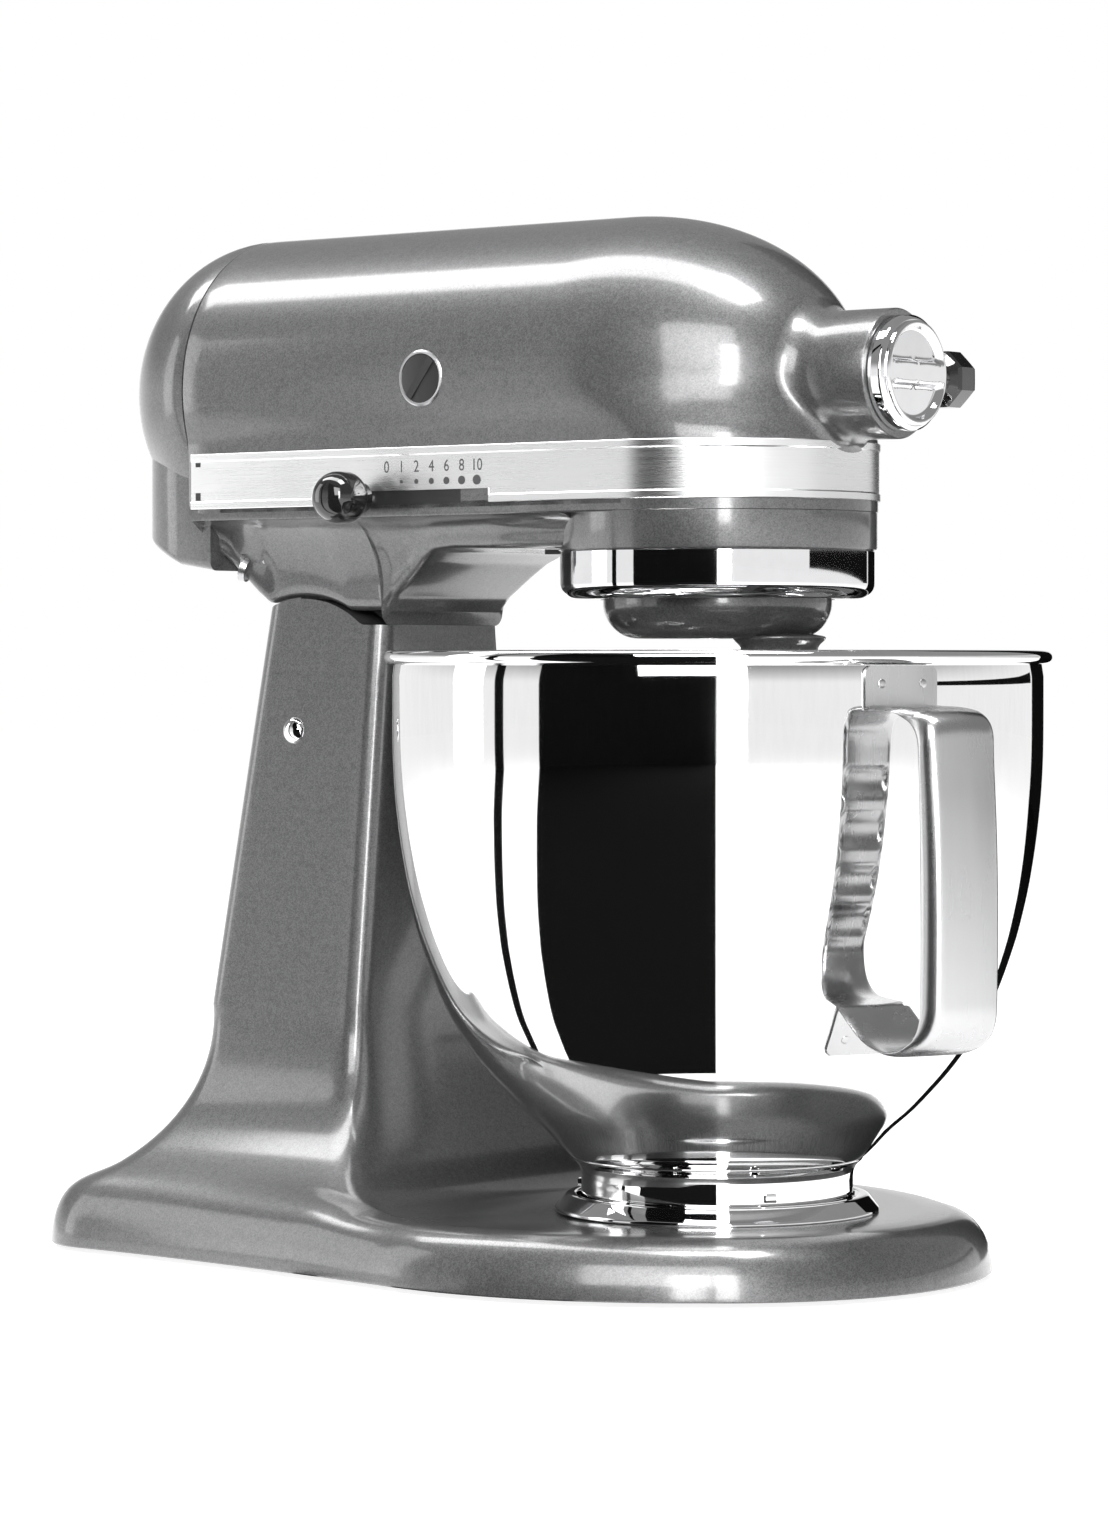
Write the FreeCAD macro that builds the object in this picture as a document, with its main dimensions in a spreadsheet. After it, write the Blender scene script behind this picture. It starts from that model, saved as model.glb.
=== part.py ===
import FreeCAD, Part
import Sketcher
import math
import os
import re

# Tilt-head stand mixer.  Millimetres, X forward to the attachment hub, Z up.
# The origin is on the floor, on the common axis of the bowl and the planetary head.

doc = FreeCAD.newDocument("StandMixer")
sheet = doc.addObject("Spreadsheet::Sheet", "Sizes")
Vector = FreeCAD.Vector

sizes = {
    # bowl
    "bowlRimRadius": 112.0,
    "bowlWallRadius": 108.7,
    "bowlTop": 208.6,
    "rimBead": 4.4,
    "bowlWall": 1.2,
    "bowlBendTop": 178.0,
    "bowlBendLow": 95.0,
    "bowlWaist": 17.0,
    "bowlUpperArc": 232.0,
    "bowlLowerArc": 129.0,
    "footRadius": 45.5,
    "footTop": 37.8,
    "footFlange": 1.8,
    "bowlFloor": 35.0,
    "bowlFloorRadius": 38.0,
    # bowl handle
    "handleTurn": 22.0,
    "handleReach": 37.3,
    "handleWidth": 27.0,
    "handleTop": 204.0,
    "handleBottom": 79.0,
    "handleStrap": 3.2,
    "handlePad": 5.6,
    # base and pedestal casting
    "bowlGap": 6.0,
    "floorGap": 2.4,
    "baseTop": 21.5,
    "baseRoll": 13.0,
    "baseHalf": 107.5,
    "baseShoulder": 48.7,
    "baseNoseAlong": 49.8,
    "baseNoseAcross": 77.7,
    "baseNoseArc": 92.8,
    "baseSideArc": 129.0,
    "baseTail": 45.8,
    "baseTailHalf": 92.1,
    "baseCorner": 26.0,
    "castWall": 4.0,
    "pedestalDepth": 70.5,
    "pedestalHalf": 46.3,
    "pedestalTopDepth": 55.5,
    "pedestalTopHalf": 33.2,
    "pedestalCorner": 7.0,
    "pedestalShelf": 217.6,
    "flareTop": 85.0,
    "flareHeight": 66.0,
    "flareReach": 70.0,
    "footPadRadius": 9.0,
    # hinge
    "hingeSetback": 37.3,
    "hingeHeight": 180.8,
    "hingeArc": 46.0,
    "hingeGap": 0.7,
    "shelfLength": 9.6,
    "pinRadius": 5.0,
    "bushRadius": 8.0,
    "tongueHalf": 17.0,
    "tongueReach": 14.0,
    "sideGap": 0.6,
    # clamp plate
    "plateMargin": 8.8,
    "plateHeight": 5.8,
    "plateBevel": 4.2,
    "footClearance": 1.1,
    # head shells
    "noseRadius": 53.6,
    "seamStep": 3.0,
    "headBehind": 72.9,
    "barrelRadius": 55.3,
    "barrelHeight": 299.6,
    "noseSetback": 31.3,
    "noseReach": 82.3,
    "noseTip": 41.0,
    "headWall": 3.0,
    "bandBottom": 257.9,
    "bandTop": 277.3,
    "bandThickness": 0.7,
    "lipHeight": 3.9,
    "chinBottom": 241.8,
    "rearShare": 0.886,
    "skirtReach": 38.5,
    "skirtStep": 9.3,
    "skirtCorner": 28.0,
    "skirtTop": 283.0,
    # drip ring and planetary
    "dripRadius": 52.6,
    "dripBottom": 225.6,
    "planetRadius": 38.3,
    "planetBottom": 212.6,
    "planetRound": 12.0,
    "shaftBossRadius": 12.5,
    "shaftBossBottom": 207.2,
    "agitatorRadius": 6.0,
    "agitatorEnd": 172.0,
    "runningFit": 0.05,
    "gearModule": 1.75,
    "ringTeeth": 52,
    "planetTeeth": 22,
    "driveModule": 1.5,
    "centreTeeth": 56,
    "pinionTeeth": 12,
    "toothHeight": 8.0,
    "centreShaftRadius": 5.0,
    "wheelAcross": 24.0,
    "wheelRadius": 17.4,
    "wormRadius": 6.3,
    # motor
    "motorHeight": 300.0,
    "fieldRadius": 35.0,
    "coreRadius": 22.0,
    "coreLength": 50.0,
    "airGap": 0.6,
    "motorShaftRadius": 4.0,
    "bearingRadius": 9.0,
    "brushBehind": 83.0,
    "brushCapRadius": 8.75,
    # attachment hub
    "hubHeight": 298.5,
    "hubFace": 78.8,
    "hubRingRadius": 18.9,
    "hubBore": 15.2,
    "hubRingLength": 6.0,
    "hubBossRadius": 21.3,
    "screwAlong": 64.0,
    "screwRadius": 4.0,
    "knobRadius": 10.2,
    "knobLength": 17.0,
    # speed lever
    "leverAlong": 87.0,
    "leverThrow": 21.0,
    "leverInner": 2.0,
    "leverThick": 2.0,
    "knobStandoff": 3.2,
    "slotHeight": 4.6,
    "speedKnobRadius": 8.75,
    "speedKnobLength": 15.0,
}

for row, (name, value) in enumerate(sizes.items(), 1):
    sheet.set("A%d" % row, name)
    sheet.set("B%d" % row, str(value))
    sheet.setAlias("B%d" % row, name)
doc.recompute()

# Places and sizes that follow from the driving ones.
derived = {
    "pedestalFront": "-(bowlRimRadius + bowlGap)",
    "pedestalRear": "pedestalFront - pedestalDepth",
    "hingeX": "pedestalFront - hingeSetback",
    "baseRear": "pedestalRear - baseTail",
    "seamX": "pedestalFront - headBehind",
    "plateTop": "baseTop + plateHeight",
    "plateRadius": "footRadius + plateMargin",
    "seamHalf": "barrelRadius - seamStep",
    "rearReach": "barrelRadius * rearShare",
    "rearArc": "rearReach - 3",
    "skirtHalf": "barrelRadius - skirtStep",
    "recessRadius": "footRadius + footClearance + 0.6",
    "planetOffset": "gearModule * (ringTeeth - planetTeeth) / 2",
    "wheelAlong": "-sqrt((driveModule * (centreTeeth + pinionTeeth) / 2)^2 - wheelAcross^2)",
    "chinInner": "noseRadius - headWall",
    "ringBase": "chinBottom + 1.4",
    "webBottom": "ringBase + toothHeight + 1.2",
    "centreGearBase": "bandBottom + 4.2",
    "brushX": "-brushBehind",
    "coreFront": "brushX - 18",
    "leverX": "-leverAlong",
    "bearingX": "wheelAlong + 19",
    "leverHeight": "bandBottom + 1.3",
    "skirtRear": "seamX - skirtReach",
    "beadMiddle": "bowlTop - rimBead / 2",
}


def expanded(text):
    """Write a size expression out in driving sizes only."""
    text = str(text)
    found = True
    while found:
        found = False
        for word in set(re.findall(r"[A-Za-z]\w*", text)):
            if word in derived:
                text = re.sub(r"\b%s\b" % word, "(" + derived[word] + ")", text)
                found = True
    return text


def number(text):
    """The present value of a size expression."""
    if isinstance(text, (int, float)):
        return float(text)
    return float(sheet.evalExpression(expanded(text)))


def bind(thing, target, text):
    """Tie one property of a document object to the sheet."""
    words = re.sub(r"[A-Za-z]\w*", lambda m: "Sizes." + m.group() if m.group() in sizes else m.group(),
                   expanded(text))
    thing.setExpression(target, words)


TURNS = {
    "Z": FreeCAD.Rotation(),
    "X": FreeCAD.Rotation(Vector(0, 1, 0), 90),
    "Y": FreeCAD.Rotation(Vector(1, 0, 0), -90),
    "-Y": FreeCAD.Rotation(Vector(1, 0, 0), 90),
    "-X": FreeCAD.Rotation(Vector(0, 1, 0), -90),
    "-Z": FreeCAD.Rotation(Vector(1, 0, 0), 180),
}


def place(thing, at, along="Z"):
    thing.Placement = FreeCAD.Placement(Vector(0, 0, 0), TURNS[along])
    for axis, text in zip("xyz", at):
        bind(thing, "Placement.Base." + axis, text)
    return thing


# ---- Part primitives and booleans ----

def cylinder(name, radius, length, at=(0, 0, 0), along="Z"):
    thing = doc.addObject("Part::Cylinder", name)
    bind(thing, "Radius", radius)
    bind(thing, "Height", length)
    return place(thing, at, along)


def cone(name, radius, end_radius, length, at=(0, 0, 0), along="Z"):
    thing = doc.addObject("Part::Cone", name)
    bind(thing, "Radius1", radius)
    bind(thing, "Radius2", end_radius)
    bind(thing, "Height", length)
    return place(thing, at, along)


def block(name, low, size):
    thing = doc.addObject("Part::Box", name)
    for target, text in zip(("Length", "Width", "Height"), size):
        bind(thing, target, text)
    return place(thing, low)


def fused(name, *things):
    thing = doc.addObject("Part::MultiFuse", name)
    thing.Shapes = list(things)
    return thing


def common(name, first, second):
    thing = doc.addObject("Part::Common", name)
    thing.Base = first
    thing.Tool = second
    return thing


def cut(name, base, *tools):
    thing = doc.addObject("Part::Cut", name)
    thing.Base = base
    thing.Tool = tools[0] if len(tools) == 1 else fused(name + "_tools", *tools)
    return thing


def group(name, *things):
    """Several separate solids that share one node."""
    thing = doc.addObject("Part::Compound", name)
    thing.Links = list(things)
    return thing


# ---- PartDesign bodies ----

def new_body(name):
    body = doc.addObject("PartDesign::Body", name)
    body.Label = name
    return body


def plane_of(body, role):
    return [feature for feature in body.Origin.OriginFeatures if feature.Role == role][0]


def draw(sketch, points):
    """Close an outline through points (x, y) or (x, y, arc radius).

    A third value makes the stretch that ends at the point an arc: a positive
    radius turns to the left on the way, a negative one to the right.
    """
    spots = [(number(p[0]), number(p[1])) for p in points]
    ends = []
    for index in range(len(points)):
        following = (index + 1) % len(points)
        a = Vector(*spots[index], 0)
        b = Vector(*spots[following], 0)
        bend = points[following][2] if len(points[following]) == 3 else None
        if bend is None:
            geo = sketch.addGeometry(Part.LineSegment(a, b), False)
            ends.append((geo, 1, 2))
            continue
        left = not str(bend).startswith("-")
        radius = number(str(bend).lstrip("-"))
        chord = b - a
        half = chord.Length / 2
        side = Vector(-chord.y, chord.x, 0) * (1 / chord.Length)
        rise = math.sqrt(max(radius * radius - half * half, 0.0))
        centre = (a + b) * 0.5 + side * (rise if left else -rise)
        first, last = (a, b) if left else (b, a)
        start = math.atan2(first.y - centre.y, first.x - centre.x)
        stop = math.atan2(last.y - centre.y, last.x - centre.x)
        circle = Part.Circle(centre, Vector(0, 0, 1), radius)
        geo = sketch.addGeometry(Part.ArcOfCircle(circle, start, stop), False)
        ends.append((geo, 1, 2) if left else (geo, 2, 1))
        rule = sketch.addConstraint(Sketcher.Constraint("Radius", geo, radius))
        bind(sketch, "Constraints[%d]" % rule, str(bend).lstrip("-"))
    for index, (x_text, y_text) in enumerate([(p[0], p[1]) for p in points]):
        geo, start, _ = ends[index]
        previous, _, stop = ends[index - 1]
        sketch.addConstraint(Sketcher.Constraint("Coincident", previous, stop, geo, start))
        along, across = spots[index]
        for kind, text, value in (("DistanceX", x_text, along), ("DistanceY", y_text, across)):
            rule = sketch.addConstraint(Sketcher.Constraint(kind, -1, 1, geo, start, value))
            bind(sketch, "Constraints[%d]" % rule, text)


def sketch_in(body, name, role, points, lift=0):
    sketch = body.newObject("Sketcher::SketchObject", name)
    sketch.AttachmentSupport = [(plane_of(body, role), "")]
    sketch.MapMode = "FlatFace"
    if lift != 0:
        bind(sketch, "AttachmentOffset.Base.z", lift)
    draw(sketch, points)
    return sketch


def turned(name, points, at=(0, 0, 0), along="Z"):
    """A body turned from a half section of (radius, height) points."""
    body = new_body(name)
    sketch = sketch_in(body, name + "_section", "XZ_Plane", points)
    spin = body.newObject("PartDesign::Revolution", name + "_turn")
    spin.Profile = sketch
    spin.ReferenceAxis = (sketch, ["V_Axis"])
    spin.Angle = 360
    return place(body, at, along)


def padded(name, points, length, at=(0, 0, 0), role="XY_Plane", middle=False):
    """A body padded from a flat outline."""
    body = new_body(name)
    sketch = sketch_in(body, name + "_outline", role, points)
    pad = body.newObject("PartDesign::Pad", name + "_pad")
    pad.Profile = sketch
    bind(pad, "Length", length)
    pad.Midplane = middle
    return place(body, at)


def lofted(name, sections):
    """A body lofted through flat outlines, given as (height, points)."""
    body = new_body(name)
    sketches = [sketch_in(body, "%s_level%d" % (name, i), "XY_Plane", points, height)
                for i, (height, points) in enumerate(sections)]
    loft = body.newObject("PartDesign::AdditiveLoft", name + "_loft")
    loft.Profile = sketches[0]
    loft.Sections = sketches[1:]
    loft.Ruled = True
    return body


nodes = []


def node(name, thing):
    """Keep a finished piece under the name of its node."""
    thing.Label = name
    nodes.append(thing)
    return thing


# ---- Base and pedestal ----

def base_outline(inset):
    def within(text):
        return "%s - %s" % (text, inset)
    half = within("baseHalf")
    nose = ("baseNoseAlong - 0.55 * (%s)" % inset, "baseNoseAcross - 0.84 * (%s)" % inset)
    tail = "baseRear + %s" % inset
    side = within("baseTailHalf")
    corner = within("baseCorner")
    return [
        ("-baseShoulder", "-(%s)" % half),
        (nose[0], "-(%s)" % nose[1], within("baseSideArc")),
        (nose[0], nose[1], within("baseNoseArc")),
        ("-baseShoulder", half, within("baseSideArc")),
        ("baseRear + baseCorner", side),
        (tail, "baseTailHalf - baseCorner", corner),
        (tail, "-(baseTailHalf - baseCorner)"),
        ("baseRear + baseCorner", "-(%s)" % side, corner),
    ]


def column_section(front, rear, half, taper, corner):
    """Eight corners of one level of the pedestal, wider at the front by the taper."""
    ahead = "%s + %s" % (half, taper)
    behind = "%s - %s" % (half, taper)
    return [
        ("%s - (%s)" % (front, corner), "-(%s)" % ahead),
        (front, "-(%s - (%s))" % (ahead, corner)),
        (front, "%s - (%s)" % (ahead, corner)),
        ("%s - (%s)" % (front, corner), ahead),
        ("%s + %s" % (rear, corner), behind),
        (rear, "%s - (%s)" % (behind, corner)),
        (rear, "-(%s - (%s))" % (behind, corner)),
        ("%s + %s" % (rear, corner), "-(%s)" % behind),
    ]


def column(name, inset, low, top):
    """The pedestal's outer form, or its hollow when inset by the wall."""
    levels = []
    flare_foot = 0.9
    for share in (0.0, 0.4, 0.75, 1.0):
        height = "floorGap + %s * (flareTop - flareHeight * %s - floorGap)" % (share, flare_foot)
        roll = 11.0 * (1 - math.sqrt(max(1 - share * share, 0)))
        spread = "flareReach * %.4f" % (1 - math.sqrt(1 - flare_foot ** 2))
        levels.append((height, column_section(
            "pedestalFront + %s * 0.75 - %s" % (spread, inset),
            "baseRear + %s + %s" % (roll, inset),
            "baseTailHalf + 5 - %s - %s" % (roll, inset), "5.0", "baseCorner * 0.6")))
    for share in (0.8, 0.65, 0.45, 0.25, 0.0):
        spread = "flareReach * %.4f" % (1 - math.sqrt(1 - share * share))
        levels.append(("flareTop - flareHeight * %s" % share, column_section(
            "pedestalFront + %s * 0.75 - %s" % (spread, inset),
            "pedestalRear - %s + %s" % (spread, inset),
            "pedestalHalf + %s - %s" % (spread, inset),
            "%.3f" % (2.0 * share), "pedestalCorner + %.3f" % (8 * share))))
    levels.append((top, column_section(
        "pedestalFront - %s" % inset,
        "pedestalFront - pedestalTopDepth + %s" % inset,
        "pedestalTopHalf - %s" % inset, "0", "pedestalCorner")))
    return lofted(name, levels)


foot_places = [
    ("0", "0"),
    ("baseNoseAlong - 14", "-(baseNoseAcross - 18)"),
    ("baseNoseAlong - 14", "baseNoseAcross - 18"),
    ("baseRear + baseCorner", "-(baseTailHalf - baseCorner)"),
    ("baseRear + baseCorner", "baseTailHalf - baseCorner"),
]


def make_stand():
    base = padded("base_plate", base_outline("0"), "baseTop - floorGap", at=(0, 0, "floorGap"))
    doc.recompute()
    top = number("baseTop")
    rims = ["Edge%d" % (i + 1) for i, edge in enumerate(base.Shape.Edges)
            if all(abs(v.Point.z - top) < 0.001 for v in edge.Vertexes)]
    roll = base.newObject("PartDesign::Fillet", "base_roll")
    roll.Base = (doc.getObject("base_plate_pad"), rims)
    bind(roll, "Radius", "baseRoll")
    base.Tip = roll
    tower = column("pedestal_form", "0", "floorGap", "hingeHeight + hingeArc + 4")
    # the top follows the hinge arc behind a level shelf
    arc = cylinder("top_arc", "hingeArc", "2 * pedestalHalf + 80",
                   at=("hingeX", "-(pedestalHalf + 40)", "hingeHeight"), along="Y")
    below = block("below_arc", ("pedestalRear - 120", "-200", 0), ("400", "400", "hingeHeight"))
    shelf = block("below_shelf", ("pedestalFront - shelfLength", "-200", 0), ("300", "400", "pedestalShelf"))
    tower = common("pedestal_trimmed", tower, fused("top_limits", arc, below, shelf))
    hollow = column("pedestal_hollow", "castWall", "floorGap", "hingeHeight - 30")
    rim_hollow = padded("rim_hollow", base_outline("castWall + 1"), "baseTop - castWall - 6",
                        at=(0, 0, "floorGap - 1"))
    base_hollow = padded("base_hollow", base_outline("castWall + 8"), "baseTop - castWall - floorGap + 1",
                         at=(0, 0, "floorGap - 1"))
    slot = block("hinge_slot",
                 ("hingeX - tongueReach - 1", "-(tongueHalf + sideGap)", "hingeHeight - tongueReach - 6"),
                 ("hingeSetback + tongueReach + 1 - castWall", "2 * (tongueHalf + sideGap)", "80"))
    rear_slot = block("rear_slot",
                      ("hingeX - tongueReach - 40", "-(tongueHalf + sideGap)", "hingeHeight - 9"),
                      ("60", "2 * (tongueHalf + sideGap)", "80"))
    pin_hole = cylinder("pin_hole", "pinRadius", "2 * pedestalHalf + 40",
                        at=("hingeX", "-(pedestalHalf + 20)", "hingeHeight"), along="Y")
    gland_hole = cylinder("gland_hole", "5.0", "40", at=("pedestalRear - 32", 0, "62"), along="X")
    set_hole = cylinder("set_hole", "2.5", "30",
                        at=("hingeX", "tongueHalf + 8", "hingeHeight + pinRadius - 0.5"))
    height_hole = cylinder("height_hole", "3.0", "12", at=("pedestalFront - 5.2", 0, "pedestalShelf - 10.4"))
    lock_slot = block("lock_slot", ("hingeX - 2", "tongueHalf", "hingeHeight - 17.2"), ("29", "60", "6.4"))
    bosses = [cylinder("foot_boss%d" % i, "footPadRadius + 3", "baseTop - floorGap - 2", at=(x, y, "floorGap"))
              for i, (x, y) in enumerate(foot_places)]
    ribs = [
        block("rib_long", ("baseRear + 8", "-2", "floorGap + 3"), ("baseNoseAlong - baseRear + 20", "4", "baseTop - 8")),
        block("rib_front", ("-2", "-(baseNoseAcross + 10)", "floorGap + 3"),
              ("4", "2 * (baseNoseAcross + 10)", "baseTop - 8")),
        block("rib_rear", ("pedestalRear - 12", "-(baseTailHalf - 8)", "floorGap + 3"),
              ("4", "2 * (baseTailHalf - 8)", "baseTop - 8")),
    ]
    stem_holes = [cylinder("stem_hole%d" % i, "3.0", "8", at=(x, y, "floorGap"))
                  for i, (x, y) in enumerate(foot_places)]
    screw_holes = [cylinder("plate_hole%d" % i, "2.1", "9", at=(x, y, "baseTop - 8.5"))
                   for i, (x, y) in enumerate(plate_screw_places())]
    screw_bosses = [cylinder("plate_boss%d" % i, "6", "12", at=(x, y, "baseTop - 13"))
                    for i, (x, y) in enumerate(plate_screw_places())]
    shell = cut("stand_shell", fused("stand_solid", base, tower), rim_hollow, base_hollow, hollow)
    whole = fused("stand_ribbed", shell, *bosses, *ribs, *screw_bosses)
    node("base_casting", cut("base_casting", whole, slot, rear_slot, pin_hole, gland_hole, set_hole,
                             height_hole, lock_slot, *stem_holes, *screw_holes))

    feet = [turned("foot%d" % i, [
        (0, 0), ("footPadRadius - 1.5", 0), ("footPadRadius", "1.2"), ("footPadRadius", "floorGap"),
        ("2.9", "floorGap"), ("2.9", "floorGap + 7"), (0, "floorGap + 7")], at=(x, y, 0))
        for i, (x, y) in enumerate(foot_places)]
    node("rubber_feet", group("rubber_feet", *feet))


def plate_screw_places():
    return [("(plateRadius - 22) * %.4f" % math.cos(math.radians(turn)),
             "(plateRadius - 22) * %.4f" % math.sin(math.radians(turn))) for turn in (-30, 90, 210)]


def make_clamp_plate():
    ring = turned("plate_ring", [
        ("16", 0), ("plateRadius", 0), ("plateRadius", "0.8"), ("plateRadius - plateBevel", "plateHeight"),
        ("recessRadius", "plateHeight"), ("recessRadius", "2"), ("16", "2")], at=(0, 0, "baseTop"))
    lugs = []
    for turn in (35, 155, 275):
        lug = padded("plate_lug%d" % turn, [
            ("recessRadius + 0.5", "-9"), ("recessRadius + 0.5", "9"),
            ("footRadius + 0.45", "9"), ("footRadius + 0.45", "-9")], "1.4", at=(0, 0, "plateTop - 1.4"))
        lug.Placement = FreeCAD.Placement(lug.Placement.Base, FreeCAD.Rotation(Vector(0, 0, 1), turn))
        lugs.append(lug)
    # the lugs' flat inner ends are turned to clear the bowl's foot
    bore = cylinder("plate_clear", "footRadius + 0.45", "20", at=(0, 0, "baseTop + 2"))
    holes = [cylinder("plate_screw_hole%d" % i, "2.1", "6", at=(x, y, "baseTop - 1"))
             for i, (x, y) in enumerate(plate_screw_places())]
    node("clamp_plate", cut("clamp_plate", fused("plate_whole", ring, *lugs), bore, *holes))
    screws = [turned("plate_screw%d" % i, [
        (0, "-8"), ("2.1", "-8"), ("2.1", "2"), ("4.2", "2"), ("4.2", "2.6"), ("3.2", "3.5"), (0, "3.7")],
        at=(x, y, "baseTop")) for i, (x, y) in enumerate(plate_screw_places())]
    node("clamp_screws", group("clamp_screws", *screws))


def make_hinge():
    half = "pedestalTopHalf + 0.1 * (pedestalShelf - hingeHeight) + 1.2"
    node("hinge_pin", turned("hinge_pin", [
        (0, "-(%s) - 0.8" % half), ("pinRadius - 2", "-(%s) - 0.8" % half),
        ("pinRadius", "-(%s) + 0.8" % half),
        ("pinRadius", "%s - 0.8" % half), ("pinRadius - 2", "%s + 0.8" % half), (0, "%s + 0.8" % half)],
        at=("hingeX", 0, "hingeHeight"), along="Y"))
    node("pin_set_screw", turned("pin_set_screw", [
        (0, 0), ("2.4", 0), ("2.4", "10"), (0, "10")],
        at=("hingeX", "tongueHalf + 8", "hingeHeight + pinRadius + 0.1")))
    node("height_screw", turned("height_screw", [
        (0, "-9"), ("2.95", "-9"), ("2.95", 0), ("4.4", 0), ("4.4", "0.4"), (0, "0.4")],
        at=("pedestalFront - 5.2", 0, "pedestalShelf")))
    node("cord_gland", turned("cord_gland", [
        ("2.6", "-6"), ("4.95", "-6"), ("4.95", "6"), ("7.2", "6"), ("6.2", "9.5"), ("4.2", "14"), ("2.6", "14")],
        at=("pedestalRear - 3.2", 0, "62"), along="-X"))


def make_head_lock():
    bolt = block("lock_bolt", ("hingeX", "tongueHalf + sideGap + 0.4", "hingeHeight - 16"),
                 ("10", "pedestalTopHalf - tongueHalf + 6", "4"))
    node("lock_slide", bolt)
    node("lock_knob", turned("lock_knob", [
        (0, 0), ("4.6", 0), ("4.6", "2"), ("6.2", "3"), ("6.6", "8"), ("4.8", "10.4"), (0, "10.8")],
        at=("hingeX + 5", "pedestalTopHalf + sideGap + 6.4", "hingeHeight - 14"), along="Y"))


# ---- Bowl ----

def bowl_side(offset):
    """The bowl's wall from the bead down to the foot, moved inward by the offset."""
    return [
        ("bowlWallRadius - %s" % offset, "bowlBendTop"),
        ("bowlWallRadius - bowlWaist + 2.3 - %s" % offset, "bowlBendLow", "-(bowlUpperArc - %s)" % offset),
        ("footRadius + 1 - 0.7 * %s" % offset, "footTop + 0.8 * %s" % offset, "-(bowlLowerArc - %s)" % offset),
        ("bowlFloorRadius", "bowlFloor - bowlWall + %s" % offset),
    ]


def make_bowl():
    outer = bowl_side("0")
    inner = bowl_side("bowlWall")
    rim = [
        ("bowlWallRadius - bowlWall", "bowlTop - 0.8"),
        ("bowlWallRadius - bowlWall + 1", "bowlTop"),
        ("bowlRimRadius - 1.2", "bowlTop"),
        ("bowlRimRadius", "beadMiddle + 0.8"),
        ("bowlRimRadius", "beadMiddle - 0.8"),
        ("bowlRimRadius - 1.2", "bowlTop - rimBead"),
        ("bowlWallRadius", "bowlTop - rimBead"),
    ]
    back = list(reversed(inner))
    points = rim + outer + [(0, "bowlFloor - bowlWall"), (0, "bowlFloor")]
    points.append((back[0][0], back[0][1]))
    points.append((back[1][0], back[1][1]))
    points.append((back[2][0], back[2][1], "bowlLowerArc - bowlWall"))
    points.append((back[3][0], back[3][1], "bowlUpperArc - bowlWall"))
    node("bowl_shell", turned("bowl_shell", points))
    foot = turned("foot_ring", [
        ("footRadius - 1.3", "baseTop + 2.4"), ("footRadius", "baseTop + 2.4"), ("footRadius", "footTop - 2"),
        ("footRadius + footFlange", "footTop - 1.6"), ("footRadius + footFlange", "footTop - 0.9"),
        ("footRadius - 1.3", "footTop - 0.9")])
    tabs = []
    for turn in (35, 155, 275):
        tab = padded("foot_tab%d" % turn, [
            ("footRadius - 0.5", "-7"), ("footRadius + 1.0", "-7"), ("footRadius + 1.0", "7"),
            ("footRadius - 0.5", "7")],
            "1.4", at=(0, 0, "baseTop + 2.6"))
        tab.Placement = FreeCAD.Placement(tab.Placement.Base, FreeCAD.Rotation(Vector(0, 0, 1), turn))
        tabs.append(tab)
    within = cylinder("tab_limit", "recessRadius - 0.4", "80", at=(0, 0, 0))
    node("bowl_foot", common("bowl_foot", fused("foot_whole", foot, *tabs), within))


def handle_loop(depth):
    """The handle's D-shaped side view, moved inward by a depth."""
    out = "bowlWallRadius + handleReach - (%s)" % depth
    top = "handleTop - (%s)" % depth
    low = "handleBottom + (%s)" % depth
    return [
        ("bowlWallRadius - 16", top),
        ("bowlWallRadius - 40", low),
        ("%s - 22" % out, low),
        (out, "%s + 30" % low, "30 - (%s)" % depth),
        (out, "%s - 12" % top),
        ("%s - 12" % out, top, "13 - (%s)" % depth if depth == "0" else "12"),
    ]


def strap(name, outer, inner, half):
    """A bent strip between two depths of the handle's loop."""
    whole = padded(name + "_outer", handle_loop(outer), "2 * (%s)" % half, role="XZ_Plane", middle=True)
    gap = padded(name + "_gap", handle_loop(inner), "2 * (%s) + 4" % half, role="XZ_Plane", middle=True)
    envelope = turned(name + "_envelope", [
        (0, "bowlTop"), ("bowlWallRadius + 0.1", "bowlTop"), ("bowlWallRadius + 0.1", "bowlBendTop"),
        ("bowlWallRadius - bowlWaist + 2.4", "bowlBendLow", "-(bowlUpperArc + 0.1)"),
        ("footRadius + 1.1", "footTop", "-(bowlLowerArc + 0.1)"), (0, "footTop")])
    return [whole, gap, envelope]


def turn_handle(thing):
    turn = FreeCAD.Rotation(Vector(0, 0, -1), number("handleTurn"))
    thing.Placement = FreeCAD.Placement(Vector(0, 0, 0), turn)
    bind(thing, "Placement.Rotation.Angle", "handleTurn")
    return thing


def make_handle():
    shell = cut("handle_shell", *strap("handle_strap", "0", "handleStrap", "handleWidth / 2"))
    node("handle_shell", turn_handle(shell))
    grooves = [cylinder("finger_groove%d" % i, "17", "60",
                        at=("bowlWallRadius + handleReach - handleStrap - handlePad - 14.6", "-30",
                            "handleTop - 30 - %d * 22" % i), along="Y") for i in range(4)]
    pad = cut("handle_grip", *strap("handle_liner", "handleStrap + 0.02", "handleStrap + handlePad",
                                    "handleWidth / 2 - 1.6"), *grooves)
    node("handle_grip", turn_handle(pad))


# ---- Head shells ----

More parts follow.
